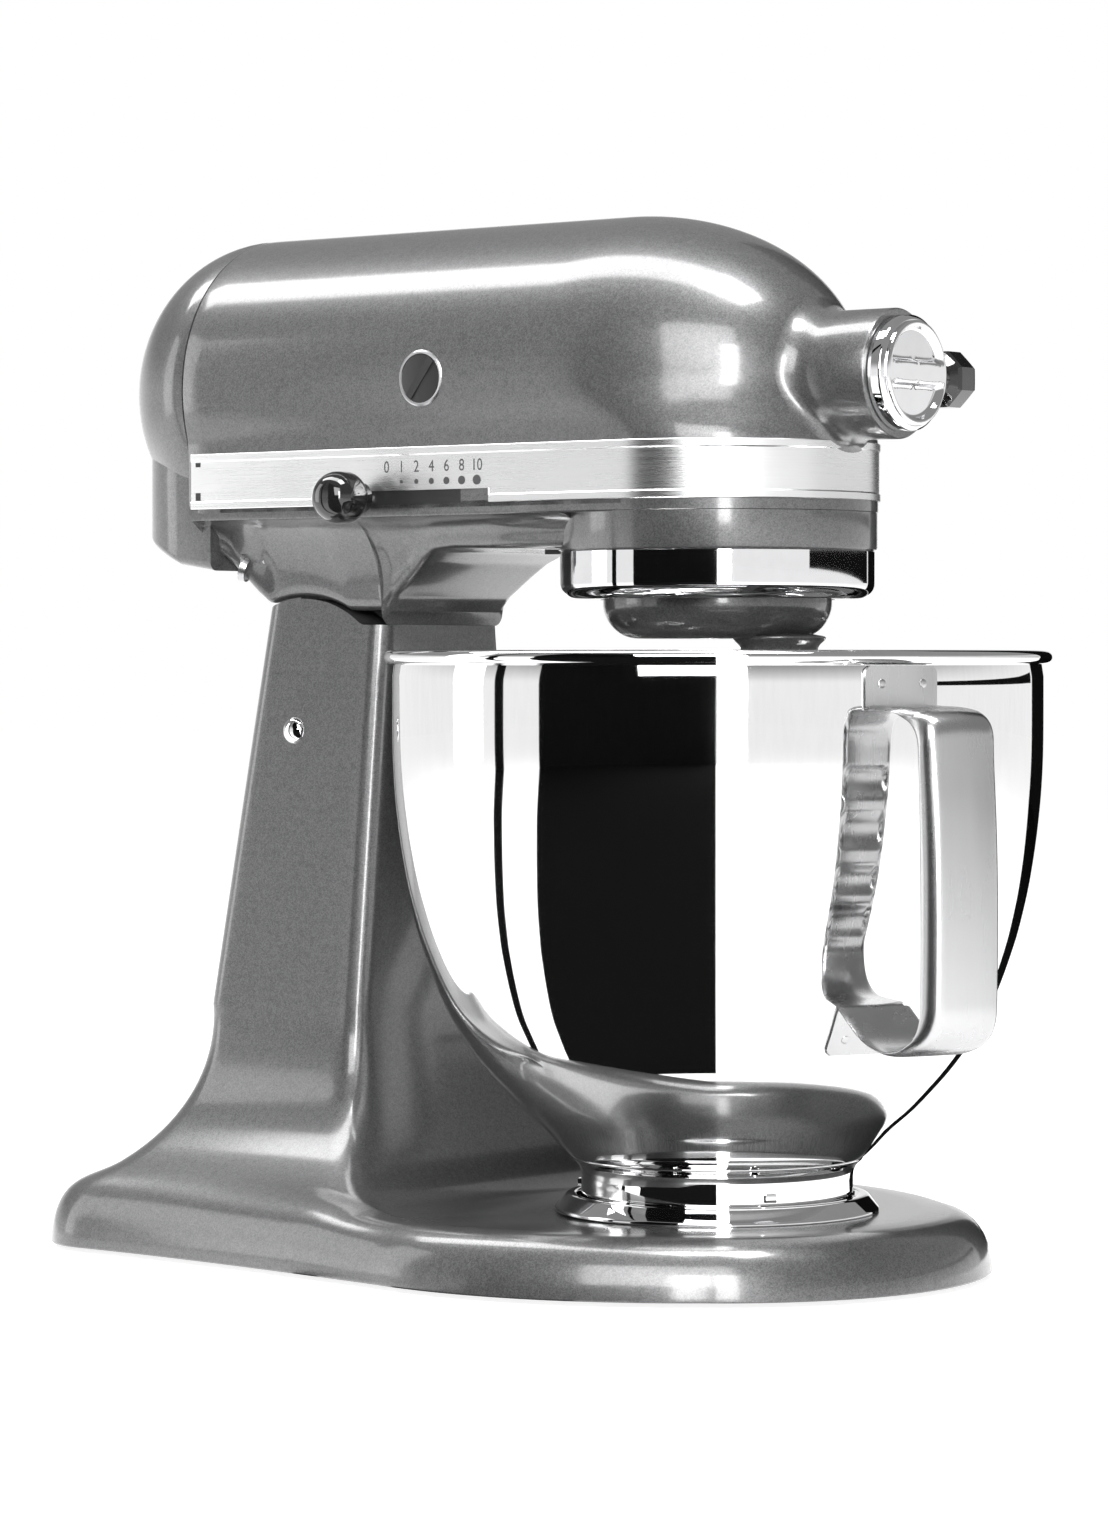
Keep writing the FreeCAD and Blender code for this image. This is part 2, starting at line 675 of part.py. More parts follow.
def plan_outline(inset, behind="0"):
    """The head seen from above: straight sides and a round nose."""
    return [
        ("seamX + %s" % behind, "-(seamHalf - (%s))" % inset),
        (0, "-(noseRadius - (%s))" % inset),
        (0, "noseRadius - (%s)" % inset, "noseRadius - (%s) + 0.001" % inset),
        ("seamX + %s" % behind, "seamHalf - (%s)" % inset),
    ]


def egg_end(reach, tip_arc, inset):
    """Join point and arcs of a two-arc end that closes the barrel over a reach."""
    long_arc = "(%s^2 + barrelRadius^2 - 2 * %s * %s) / (2 * (barrelRadius - %s))" % (
        reach, reach, tip_arc, tip_arc)
    apart = "((%s) - %s)" % (long_arc, tip_arc)
    along = "(%s - %s) / %s * ((%s) - %s)" % (reach, tip_arc, apart, long_arc, inset)
    out = "(barrelRadius - (%s)) + ((%s) - barrelRadius) / %s * ((%s) - %s)" % (
        long_arc, long_arc, apart, long_arc, inset)
    return along, out, "(%s) - %s" % (long_arc, inset), "%s - %s" % (tip_arc, inset)


def head_form(name, inset, behind="0"):
    """The upper head: barrel, egg-shaped nose and upright sides down to the band."""
    along, out, long_arc, tip_arc = egg_end("noseReach", "noseTip", inset)
    barrel = turned(name + "_barrel", [
        (0, "seamX + %s" % behind), ("barrelRadius - %s" % inset, "seamX + %s" % behind),
        ("barrelRadius - %s" % inset, "-noseSetback"), (out, "-noseSetback + " + along, long_arc),
        (0, "noseReach - noseSetback - %s" % inset, tip_arc)], at=(0, 0, "barrelHeight"), along="X")
    sides = padded(name + "_sides", plan_outline(inset, behind), "barrelHeight - 18 - bandBottom",
                   at=(0, 0, "bandBottom - %s" % ("0" if inset == "0" else "1")))
    cheek = cone(name + "_cheek", "noseRadius - 0.1 - %s" % inset, "noseRadius - 3.2 - %s" % inset,
                 "barrelHeight + 3 - bandTop", at=(0, 0, "bandTop"))
    above = block(name + "_above", ("seamX - 10", "-100", "bandBottom + 2"), ("400", "200", "200"))
    return fused(name, sides, common(name + "_round", barrel, above), cheek)


def make_head_housing():
    outer = head_form("housing_outer", "0")
    inner = head_form("housing_inner", "headWall", "-3")
    boss = turned("hub_boss", [
        ("hubBore", "-35.5"), ("hubBossRadius + 0.6", "-35.5"), ("hubBossRadius", "-27"),
        ("hubBossRadius", "-hubRingLength"), ("hubBore", "-hubRingLength")],
        at=("hubFace", 0, "hubHeight"), along="X")
    bore = cylinder("hub_bore", "hubBore", "60", at=("hubFace - 50", 0, "hubHeight"), along="X")
    screw_hole = cylinder("hub_screw_hole", "screwRadius + runningFit", "20",
                          at=("screwAlong", "hubBore - 4", "hubHeight"), along="Y")
    # rings round the motor field, and a web that carries the front bearing
    ring_limit = block("ring_limit", ("seamX", "-100", "bandBottom + 6"), ("300", "200", "200"))
    rings = [common("motor_rib%d" % i, turned("motor_ring%d" % i, [
        ("fieldRadius", 0), ("barrelRadius - headWall + 1.2", 0), ("barrelRadius - headWall + 1.2", "4"),
        ("fieldRadius", "4")], at=(x, 0, "motorHeight"), along="X"), ring_limit)
        for i, x in enumerate(("coreFront - 12", "coreFront - coreLength + 6"))]
    web_limit = block("web_limit", ("seamX", "-100", "centreGearBase + 19"), ("300", "200", "200"))
    web = common("bearing_web", turned("bearing_web_disc", [
        ("bearingRadius", 0), ("barrelRadius - headWall + 1", 0), ("barrelRadius - headWall + 1", "5"),
        ("bearingRadius", "5")], at=("bearingX", 0, "motorHeight"), along="X"), web_limit)
    shell = fused("housing_shell", cut("housing_hollowed", outer, inner), boss, *rings, web)
    brush_holes = cylinder("brush_cap_holes", "brushCapRadius + 0.1", "200", at=("brushX", "-100", "motorHeight"),
                           along="Y")
    slot = block("lever_window", ("leverX - leverThrow - 9", "-(noseRadius + 9)", "bandBottom - 1"),
                 ("2 * leverThrow + 18", "20", "slotHeight + 1"))
    node("head_housing", cut("head_housing", shell, bore, screw_hole, brush_holes, slot))


def make_trim_band():
    outer = padded("band_outer", plan_outline("-bandThickness", "2"), "bandTop - bandBottom - 0.4",
                   at=(0, 0, "bandBottom + 0.2"))
    inner = padded("band_inner", plan_outline("0"), "bandTop - bandBottom + 2", at=(0, 0, "bandBottom - 1"))
    slot = block("band_window", ("leverX - leverThrow - 8", "-(noseRadius + 9)", "bandBottom - 1"),
                 ("2 * leverThrow + 16", "20", "slotHeight + 1"))
    node("trim_band", cut("trim_band", outer, inner, slot))


def neck_section(front, rear, half):
    return [
        (rear, "-(%s)" % half), (front, "-(%s)" % half), (front, half), (rear, half)]


def neck_levels(inset, low):
    levels = [
        ("bandBottom - lipHeight", "-8", "seamX + %s" % inset, "seamHalf - 0.3 - %s" % inset),
        ("bandBottom - lipHeight - 8", "-8", "seamX + 2.5 + %s" % inset, "seamHalf - 9 - %s" % inset),
        ("chinBottom", "-8", "seamX + 5.5 + %s" % inset, "seamHalf - 12.5 - %s" % inset),
    ]
    neck = [
        ("chinBottom", "pedestalFront + 26 - %s" % inset, "seamX + 5.5 + %s" % inset, "seamHalf - 12.5 - %s" % inset),
        ("chinBottom - 9", "pedestalFront + 12 - %s" % inset, "seamX + 11 + %s" % inset,
         "pedestalTopHalf + 2.6 - %s" % inset),
        ("chinBottom - 17", "pedestalFront + 3 - %s" % inset, "seamX + 18 + %s" % inset,
         "pedestalTopHalf + 0.6 - %s" % inset),
        (low, "pedestalFront - %s" % inset, "seamX + 23 + %s" % inset, "pedestalTopHalf - %s" % inset),
    ]
    return levels, neck


def as_sections(levels):
    return [(height, neck_section(front, rear, half)) for height, front, rear, half in levels]


def make_lower_gearcase():
    lip = padded("case_lip", plan_outline("0"), "lipHeight - 0.05", at=(0, 0, "bandBottom - lipHeight"))
    chin = cylinder("case_chin", "noseRadius", "bandBottom - lipHeight - chinBottom", at=(0, 0, "chinBottom"))
    arm_levels, neck_forms = neck_levels("0", "hingeHeight + 30")
    arm = lofted("case_arm", as_sections(arm_levels))
    neck = lofted("case_neck", as_sections(neck_forms))
    solid = fused("case_solid", lip, chin, arm, neck)
    # hollow above, leaving the web that carries the gear train
    arm_hollows, neck_hollows = neck_levels("headWall + 1", "hingeHeight + hingeArc + 8")
    arm_hollow = lofted("case_arm_hollow", as_sections([
        ("bandBottom + 1", "-noseRadius", arm_hollows[0][2], arm_hollows[0][3]),
        (arm_hollows[0][0], "-noseRadius", arm_hollows[0][2], arm_hollows[0][3]),
        (arm_hollows[1][0] + " + 2", "-noseRadius", arm_hollows[1][2], arm_hollows[1][3]),
        ("chinBottom + 4", "-noseRadius", arm_hollows[2][2], arm_hollows[2][3])]))
    web_top = "bandBottom - lipHeight + 2"
    above = cylinder("case_above", "chinInner", "20", at=(0, 0, web_top))
    below = cylinder("case_below", "chinInner", "webBottom - chinBottom + 20", at=(0, 0, "chinBottom - 20"))
    # the underside follows the pedestal's top with a small gap
    arc = cylinder("neck_arc", "hingeArc + hingeGap", "200", at=("hingeX", "-100", "hingeHeight"), along="Y")
    behind = block("neck_arc_side", ("pedestalFront - shelfLength - hingeGap - 200", "-200", "0"),
                   ("200", "400", "400"))
    shelf = block("neck_shelf", ("pedestalFront - shelfLength - hingeGap - 1", "-200", "0"),
                  ("80", "400", "pedestalShelf + hingeGap"))
    bottom = block("neck_bottom", ("seamX - 50", "-200", "0"), ("300", "400", "hingeHeight + 34"))
    arc_part = common("neck_arc_part", arc, behind)
    post = block("tongue_post", ("hingeX - tongueReach", "-tongueHalf", "hingeHeight"),
                 ("2 * tongueReach", "2 * tongueHalf", "hingeArc + 12"))
    eye = cylinder("tongue_eye", "tongueReach", "2 * tongueHalf",
                   at=("hingeX", "-tongueHalf", "hingeHeight"), along="Y")
    eye_hole = cylinder("tongue_hole", "bushRadius", "2 * tongueHalf + 2",
                        at=("hingeX", "-tongueHalf - 1", "hingeHeight"), along="Y")
    bearing_boss = cylinder("bearing_boss", "centreShaftRadius + 9", "webBottom + 8.7 - ringBase - toothHeight",
                            at=(0, 0, "ringBase + toothHeight + 0.4"))
    bearing_hole = cylinder("bearing_hole", "centreShaftRadius + 4", "60", at=(0, 0, "chinBottom - 20"))
    recesses = [cylinder("cover_recess%d" % i, "5.6", "26", at=("seamX - 12", y, "chinBottom - 1.5"), along="X")
                for i, y in enumerate(("-(pedestalTopHalf + 1)", "pedestalTopHalf + 1"))]
    slot = block("case_window", ("leverX - leverThrow - 9", "-(noseRadius + 9)", "bandBottom - 0.3"),
                 ("2 * leverThrow + 18", "20", "2"))
    screw_holes = [cylinder("cover_screw_hole%d" % i, "2.0", "20", at=("seamX + 12", y, "chinBottom - 1.5"), along="X")
                   for i, y in enumerate(("-(pedestalTopHalf + 1)", "pedestalTopHalf + 1"))]
    clip_pocket = block("clip_pocket", ("-noseRadius - 8", "-16", "chinBottom - 1"), ("10", "5", "5"))
    shaped = cut("case_shaped", solid, arm_hollow, above, below, arc_part, shelf, bottom)
    whole = fused("case_whole", shaped, cut("tongue", fused("tongue_solid", post, eye), eye_hole), bearing_boss)
    node("lower_gearcase", cut("lower_gearcase", whole, bearing_hole, *recesses, *screw_holes, slot, clip_pocket))
    bushes = [turned("hinge_bush%d" % i, [
        ("pinRadius + runningFit", 0), ("bushRadius", 0), ("bushRadius", "tongueHalf - 1"),
        ("pinRadius + runningFit", "tongueHalf - 1")], at=("hingeX", y, "hingeHeight"), along="Y")
        for i, y in enumerate(("-tongueHalf", 1))]
    node("hinge_bushes", group("hinge_bushes", *bushes))
    screws = [turned("cover_screw%d" % i, [
        (0, 0), ("4.2", 0), ("4.2", "1.8"), ("2.0", "1.8"), ("2.0", "9"), (0, "9")],
        at=("seamX + 12.2", y, "chinBottom - 1.5"), along="X")
        for i, y in enumerate(("-(pedestalTopHalf + 1)", "pedestalTopHalf + 1"))]
    node("cover_screws", group("cover_screws", *screws))
    node("drip_clip", block("drip_clip", ("-noseRadius - 7.5", "-15.5", "chinBottom - 0.5"),
                            ("8", "4", "4.5")))


def make_rear_cover():
    def form(name, inset, past="0"):
        flat = "(%s)" % inset
        tip = "((rearReach^2 + barrelRadius^2 - 2 * barrelRadius * rearArc) / (2 * (rearReach - rearArc)))"
        apart = "(%s - rearArc)" % tip
        start = [(0, "rearReach - " + flat, "%s - %s" % (tip, flat)), (0, "-" + past),
                 ("barrelRadius - " + flat, "-" + past)]
        if past != "0":
            start.append(("barrelRadius - " + flat, 0))
        dome = turned(name + "_dome", start + [
            ("(barrelRadius - rearArc) * (1 + (rearArc - %s) / %s)" % (flat, apart),
             "(rearArc - %s) * (%s - rearReach) / %s" % (flat, tip, apart), "rearArc - " + flat)],
            at=("seamX", 0, "barrelHeight"), along="-X")
        plan = padded(name + "_plan", [
            ("seamX + %s" % past, "-(skirtHalf - %s)" % flat), ("seamX + %s" % past, "skirtHalf - %s" % flat),
            ("skirtRear + skirtCorner", "skirtHalf - %s" % flat),
            ("skirtRear + %s" % flat, "skirtHalf - skirtCorner", "skirtCorner - %s" % flat),
            ("skirtRear + %s" % flat, "-(skirtHalf - skirtCorner)"),
            ("skirtRear + skirtCorner", "-(skirtHalf - %s)" % flat, "skirtCorner - %s" % flat)],
            "60", at=(0, 0, "bandBottom - 30"))
        side = padded(name + "_side", [
            ("seamX + %s" % past, "skirtTop"), ("skirtRear - 1", "skirtTop"), ("skirtRear - 1", "bandBottom - 8"),
            ("skirtRear + 9", "bandBottom - 11.5 + %s" % flat),
            ("seamX - 0.3 + %s" % past, "bandBottom - 19.5 + %s" % flat)], "200", role="XZ_Plane", middle=True)
        return fused(name, dome, common(name + "_skirt", plan, side))
    node("rear_cover", cut("rear_cover", form("cover_outer", "0"), form("cover_inner", "headWall", "2")))


# ---- Planetary, drip ring and gear train ----

def gear(name, module, teeth, length, turn=0.0, ring=None, bore=None):
    """A spur gear, or an internal one when a ring's outer radius is given."""
    pitch = module * teeth / 2
    rise, fall = module * 0.8, module * 1.05
    tip, root = (pitch - rise, pitch + fall) if ring else (pitch + rise, pitch - fall)
    step = 2 * math.pi / teeth
    points = []
    for index in range(teeth):
        middle = turn + index * step
        for share, radius in ((-0.32, root), (-0.13, tip), (0.13, tip), (0.32, root)):
            angle = middle + share * step
            points.append(Vector(radius * math.cos(angle), radius * math.sin(angle), 0))
    teeth_face = Part.Face(Part.makePolygon(points + [points[0]]))
    if ring:
        face = Part.Face(Part.Wire(Part.makeCircle(ring))).cut(teeth_face)
    elif bore:
        face = teeth_face.cut(Part.Face(Part.Wire(Part.makeCircle(bore))))
    else:
        face = teeth_face
    solid = face.Faces[0].extrude(Vector(0, 0, length))
    thing = doc.addObject("Part::Feature", name)
    thing.Shape = solid
    return thing


def make_gear_train():
    module = number("gearModule")
    height = number("toothHeight")
    shaft = number("centreShaftRadius")
    ring = gear("ring_gear", module, int(number("ringTeeth")), height, ring=number("chinInner"))
    node("ring_gear", place(ring, (0, 0, "ringBase")))

    pinion_turn = math.pi / number("planetTeeth")
    small = gear("agitator_pinion", module, int(number("planetTeeth")), height - 1, turn=pinion_turn,
                 bore=number("agitatorRadius"))
    node("agitator_pinion", place(small, ("planetOffset", 0, "ringBase + 0.5")))

    drive = number("driveModule")
    centre = gear("centre_teeth", drive, int(number("centreTeeth")), 7.0, bore=shaft)
    place(centre, (0, 0, "centreGearBase"))
    crown = turned("centre_crown", [
        ("centreShaftRadius", 0), ("36", 0), ("36", "4"), ("29.4", "8.4"), ("26", "8.4"), ("24", "4"),
        ("centreShaftRadius", "4")], at=(0, 0, "centreGearBase + 7"))
    node("centre_gear", fused("centre_gear", centre, crown))
    node("centre_shaft", cylinder("centre_shaft", "centreShaftRadius", "centreGearBase + 18 - dripBottom",
                                  at=(0, 0, "dripBottom")))
    node("centre_bearing", turned("centre_bearing", [
        ("centreShaftRadius + runningFit", 0), ("centreShaftRadius + 4", 0), ("centreShaftRadius + 4", "6"),
        ("centreShaftRadius + runningFit", "6")], at=(0, 0, "webBottom - 1")))

    # the pinion's turn puts one of its gaps on a tooth of the centre gear
    away = math.atan2(number("wheelAcross"), number("wheelAlong"))
    step = 2 * math.pi / number("centreTeeth")
    phase = away / step - round(away / step)
    tooth = 2 * math.pi / number("pinionTeeth")
    pinion = gear("pinion_teeth", drive, int(number("pinionTeeth")), 7.0,
                  turn=away + math.pi + tooth / 2 + phase * tooth)
    place(pinion, ("wheelAlong", "wheelAcross", "centreGearBase"))
    stem = cylinder("wheel_stem", "5", "motorHeight + 12 - centreGearBase",
                    at=("wheelAlong", "wheelAcross", "centreGearBase"))
    node("drive_pinion", fused("drive_pinion", pinion, stem))
    wheel = gear("worm_wheel", number("wheelRadius") / 12.8, 24, 10.0, bore=5.0)
    node("worm_wheel", place(wheel, ("wheelAlong", "wheelAcross", "motorHeight - 5")))
    bracket = block("bracket_plate", ("wheelAlong - 14", "wheelAcross - 24", "motorHeight - 21"),
                    ("28", "seamHalf - 1 - wheelAcross + 24", "4"))
    bracket_hole = cylinder("bracket_hole", "5 + runningFit", "10",
                            at=("wheelAlong", "wheelAcross", "motorHeight - 24"))
    node("wheel_bracket", cut("wheel_bracket", bracket, bracket_hole))


def make_planetary():
    skirt = turned("planet_form", [
        (0, 0), ("planetRadius - planetRound", 0), ("planetRadius", "planetRound", "planetRound"),
        ("planetRadius", "dripBottom + 14 - planetBottom"), (0, "dripBottom + 14 - planetBottom")],
        at=(0, 0, "planetBottom"))
    boss = cone("planet_boss", "shaftBossRadius", "shaftBossRadius + 1.5", "20",
                at=("planetOffset - 1.0", 0, "shaftBossBottom"))
    bore = cylinder("planet_bore", "agitatorRadius + runningFit", "80",
                    at=("planetOffset", 0, "shaftBossBottom - 2"))
    seat = cylinder("planet_seat", "centreShaftRadius", "60", at=(0, 0, "dripBottom"))
    node("planetary_hub", cut("planetary_hub", fused("planet_solid", skirt, boss), bore, seat))
    node("drip_ring", turned("drip_ring", [
        ("dripRadius - 1.4", "chinBottom"), ("dripRadius - 1.4", "dripBottom + 5"),
        ("dripRadius - 5", "dripBottom + 1.4"), ("planetRadius + 1.5", "dripBottom + 1.4"),
        ("planetRadius + 1.5", "dripBottom"), ("dripRadius - 4.5", "dripBottom"),
        ("dripRadius", "dripBottom + 4.5", "4.5"), ("dripRadius", "chinBottom")]))
    shaft = cylinder("agitator_bar", "agitatorRadius", "ringBase + toothHeight - agitatorEnd",
                     at=("planetOffset", 0, "agitatorEnd"))
    pin_hole = cylinder("shaft_pin_hole", "2.2", "22",
                        at=("planetOffset", "-11", "agitatorEnd + 18"), along="Y")
    node("agitator_shaft", cut("agitator_shaft", shaft, pin_hole))
    node("shaft_pin", cylinder("shaft_pin", "2.2", "22",
                               at=("planetOffset", "-11", "agitatorEnd + 18"), along="Y"))


def make_beater():
    """A flat beater: a rounded frame with cross ribs on a collar."""
    half = "bowlWallRadius - 44"
    frame = padded("beater_frame", [
        ("-9", "agitatorEnd + 2"), ("-(%s) + 8" % half, "agitatorEnd - 16", "90"),
        ("-(%s)" % half, "agitatorEnd - 34"), ("-(%s) + 4" % half, "bowlBendLow + 14"),
        ("-26", "bowlFloor + 15", "-105"), ("26", "bowlFloor + 15", "120"),
        ("%s - 4" % half, "bowlBendLow + 14", "-105"), (half, "agitatorEnd - 34"),
        ("%s - 8" % half, "agitatorEnd - 16"),
        ("9", "agitatorEnd + 2", "90")], "7", role="XZ_Plane", middle=True)
    place(frame, ("planetOffset", 0, 0))
    windows = []
    for side in (-1, 1):
        for level, (low, high, reach) in enumerate(((60, 84, 30), (90, 114, 44), (120, 144, 50))):
            inner, outer = sorted((side * 6, side * reach))
            windows.append(block("beater_window%d%d" % (side + 1, level),
                                 ("planetOffset + %d" % inner, "-10", "bowlFloor - 35 + %d" % low),
                                 (outer - inner, "20", high - low)))
    collar = cylinder("beater_collar", "agitatorRadius + 4.5", "36", at=("planetOffset", 0, "agitatorEnd - 4"))
    socket = cylinder("beater_socket", "agitatorRadius", "60", at=("planetOffset", 0, "agitatorEnd"))
    pin_hole = cylinder("beater_pin_hole", "2.2", "40",
                        at=("planetOffset", "-20", "agitatorEnd + 18"), along="Y")
    node("flat_beater", cut("flat_beater", fused("beater_solid", cut("beater_open", frame, *windows), collar),
                            socket, pin_hole))


# ---- Motor ----

def make_motor():
    core_rear = "coreFront - coreLength"
    node("motor_field", turned("motor_field", [
        ("coreRadius + airGap", 0), ("fieldRadius", 0), ("fieldRadius", "coreLength"),
        ("coreRadius + airGap", "coreLength")], at=(core_rear, 0, "motorHeight"), along="X"))
    coils = [turned("field_coil%d" % i, [
        ("coreRadius + 3", 0), ("fieldRadius - 3", 0), ("fieldRadius - 3", "6"), ("coreRadius + 3", "6")],
        at=(x, 0, "motorHeight"), along="X") for i, x in enumerate(("%s - 6" % core_rear, "coreFront"))]
    node("field_coils", group("field_coils", *coils))
    shaft = turned("rotor_shaft", [
        (0, "seamX + 3"), ("motorShaftRadius", "seamX + 3"), ("motorShaftRadius", "wheelAlong - 14"),
        ("wormRadius", "wheelAlong - 12"), ("wormRadius", "wheelAlong + 12"), ("motorShaftRadius", "wheelAlong + 14"),
        ("motorShaftRadius", "wheelAlong + 26"), (0, "wheelAlong + 26")], at=(0, 0, "motorHeight"), along="X")
    node("rotor_shaft", shaft)

    def sleeve(name, radius, start, length):
        return turned(name, [
            ("motorShaftRadius", 0), (radius, 0), (radius, length), ("motorShaftRadius", length)],
            at=(start, 0, "motorHeight"), along="X")
    node("armature_core", sleeve("armature_core", "coreRadius", core_rear, "coreLength"))
    node("commutator", sleeve("commutator", "11", "brushX - 8", "16"))
    fan_hub = sleeve("fan_hub", "9", "%s - 20" % core_rear, "10")
    blades = [block("fan_blade%d" % i, ("0", "-1", "0"), ("10", "2", "22")) for i in range(8)]
    for index, blade in enumerate(blades):
        spin = FreeCAD.Rotation(Vector(1, 0, 0), 45 * index)
        blade.Placement = FreeCAD.Placement(Vector(0, 0, 0), spin)
        offset = spin.multVec(Vector(0, -1, 7))
        bind(blade, "Placement.Base.x", "%s - 20" % core_rear)
        bind(blade, "Placement.Base.y", "%.6f" % offset.y)
        bind(blade, "Placement.Base.z", "motorHeight + %.6f" % offset.z)
    node("cooling_fan", fused("cooling_fan", fan_hub, *blades))

    bar = block("bracket_bar", ("seamX + 6", "-(barrelRadius - headWall + 0.8)", "motorHeight - 9"),
                ("5", "2 * (barrelRadius - headWall + 0.8)", "18"))
    standoffs = [cylinder("board_standoff%d" % i, "3", "18.5", at=("seamX - 12", y, "motorHeight"), along="X")
                 for i, y in enumerate(("-20", "20"))]
    bearing_bore = cylinder("bracket_bore", "motorShaftRadius + runningFit", "12",
                            at=("seamX + 3", 0, "motorHeight"), along="X")
    node("motor_bracket", cut("motor_bracket", fused("bracket_whole", bar, *standoffs), bearing_bore))
    node("front_bearing", turned("front_bearing", [
        ("motorShaftRadius + runningFit", 0), ("bearingRadius", 0), ("bearingRadius", "5"),
        ("motorShaftRadius + runningFit", "5")], at=("bearingX", 0, "motorHeight"), along="X"))
    caps, holders, carbons = [], [], []
    for side in ("-Y", "Y"):
        sign = "-" if side == "-Y" else ""
        cap = turned("brush_cap" + side, [
            (0, "seamHalf - 5"), ("brushCapRadius", "seamHalf - 5"), ("brushCapRadius", "barrelRadius + 0.4"),
            ("brushCapRadius - 1", "barrelRadius + 1.2"), (0, "barrelRadius + 1.2")],
            at=("brushX", 0, "motorHeight"), along=side)
        groove = block("cap_groove" + side, ("-1", "-10", "0"), ("2", "20", "2"))
        spin = FreeCAD.Rotation(Vector(0, 0, 1), -35)
        turn = TURNS[side].multiply(spin)
        groove.Placement = FreeCAD.Placement(Vector(0, 0, 0), turn)
        corner = turn.multVec(Vector(-1, -10, 0))
        bind(groove, "Placement.Base.x", "brushX + %.4f" % corner.x)
        bind(groove, "Placement.Base.y", "%s(barrelRadius - 0.2)" % sign)
        bind(groove, "Placement.Base.z", "motorHeight + %.4f" % corner.z)
        caps.append(cut("brush_cap_slotted" + side, cap, groove))
        holders.append(turned("brush_holder" + side, [
            ("3.2", "14"), ("5.2", "14"), ("5.2", "seamHalf - 5.2"), ("3.2", "seamHalf - 5.2")],
            at=("brushX", 0, "motorHeight"), along=side))
        carbons.append(turned("carbon_brush" + side, [
            (0, "11.4"), ("3.1", "11.4"), ("3.1", "28"), (0, "28")], at=("brushX", 0, "motorHeight"), along=side))
    node("brush_caps", group("brush_caps", *caps))
    node("brush_holders", group("brush_holders", *holders))
    node("carbon_brushes", group("carbon_brushes", *carbons))
    node("speed_board", block("speed_board", ("seamX - 14", "-26", "motorHeight - 22"), ("2", "52", "50")))


# ---- Attachment hub ----

def make_hub():
    node("hub_ring", turned("hub_ring", [
        ("hubBore + 0.2", "-hubRingLength"), ("hubRingRadius", "-hubRingLength"), ("hubRingRadius", "-1"),
        ("hubRingRadius - 1", 0), ("hubBore + 0.2", 0)], at=("hubFace", 0, "hubHeight"), along="X"))
    disc = turned("cap_disc", [
        (0, "-7"), ("hubBore - 1", "-7"), ("hubBore - 0.4", "-6"), ("hubBore - 0.4", "0.4"), ("hubBore + 1.8", "0.4"),
        ("hubBore + 1.2", "1.6"), (0, "1.6")], at=("hubFace", 0, "hubHeight"), along="X")
    dishes = []
    for index, side in enumerate((-1, 1)):
        low = "hubHeight + 3.2" if side > 0 else "hubHeight - 23.2"
        limit = block("dish_limit%d" % index, ("hubFace - 3", "-20", low), ("10", "40", "20"))
        round_dish = cylinder("dish_round%d" % index, "hubBore - 2.6", "3.4", at=("hubFace - 1.2", 0, "hubHeight"),
                              along="X")
        dishes.append(common("dish%d" % index, round_dish, limit))
    node("hub_cap", cut("hub_cap", disc, *dishes))
    bevel = turned("hub_bevel_form", [
        (0, "29.6"), ("19.2", "29.6"), ("23.6", "36.2"), ("20", "41"), (0, "41")], at=(0, 0, "hubHeight"), along="X")
    notches = []
    for index in range(24):
        notch = doc.addObject("Part::Box", "bevel_notch%d" % index)
        notch.Length = 1.6
        notch.Width = 3
        notch.Height = 20
        spin = FreeCAD.Rotation(Vector(1, 0, 0), 15 * index)
        notch.Placement = FreeCAD.Placement(Vector(0, 0, 0), spin.multiply(TURNS["X"]))
        corner = spin.multVec(Vector(28, -1.5, 22.4))
        bind(notch, "Placement.Base.x", "%.4f" % corner.x)
        bind(notch, "Placement.Base.y", "%.4f" % corner.y)
        bind(notch, "Placement.Base.z", "hubHeight + %.4f" % corner.z)
        notches.append(notch)
    node("hub_bevel", cut("hub_bevel", bevel, *notches))
    square = block("socket_square", ("43", "-4.7", "hubHeight - 4.7"), ("20", "9.4", "9.4"))
    barrel = turned("socket_barrel", [
        (0, "41"), ("10", "41"), ("10", "54"), (0, "54")], at=(0, 0, "hubHeight"), along="X")
    node("hub_socket", cut("hub_socket", barrel, square))
    node("hub_bush", turned("hub_bush", [
        ("10 + runningFit", "44"), ("hubBore", "44"), ("hubBore", "52"), ("10 + runningFit", "52")],
        at=(0, 0, "hubHeight"), along="X"))
    node("attachment_screw", turned("attachment_screw", [
        (0, "hubBore + 0.2"), ("screwRadius", "hubBore + 1"), ("screwRadius", "hubBossRadius + 12"),
        (0, "hubBossRadius + 12")], at=("screwAlong", 0, "hubHeight"), along="Y"))
    knob = turned("knob_body", [
        ("screwRadius + runningFit", "hubBossRadius + 8.2"), ("knobRadius - 3.4", "hubBossRadius + 8.2"),
        ("knobRadius", "hubBossRadius + 12"), ("knobRadius - 0.8", "hubBossRadius + 7 + knobLength"),
        ("knobRadius - 2.2", "hubBossRadius + 8.2 + knobLength"), (0, "hubBossRadius + 8.2 + knobLength"),
        (0, "hubBossRadius + 12.3"), ("screwRadius + runningFit", "hubBossRadius + 12.3")],
        at=("screwAlong", 0, "hubHeight"), along="Y")
    flutes = []
    for index in range(8):
        angle = math.radians(45 * index + 22.5)
        flutes.append(cylinder("knob_flute%d" % index, "2.6", "40", along="Y",
                               at=("screwAlong + (knobRadius + 1.4) * %.4f" % math.cos(angle), "hubBossRadius + 11",
                                   "hubHeight + (knobRadius + 1.4) * %.4f" % math.sin(angle))))
    node("attachment_knob", cut("attachment_knob", knob, *flutes))


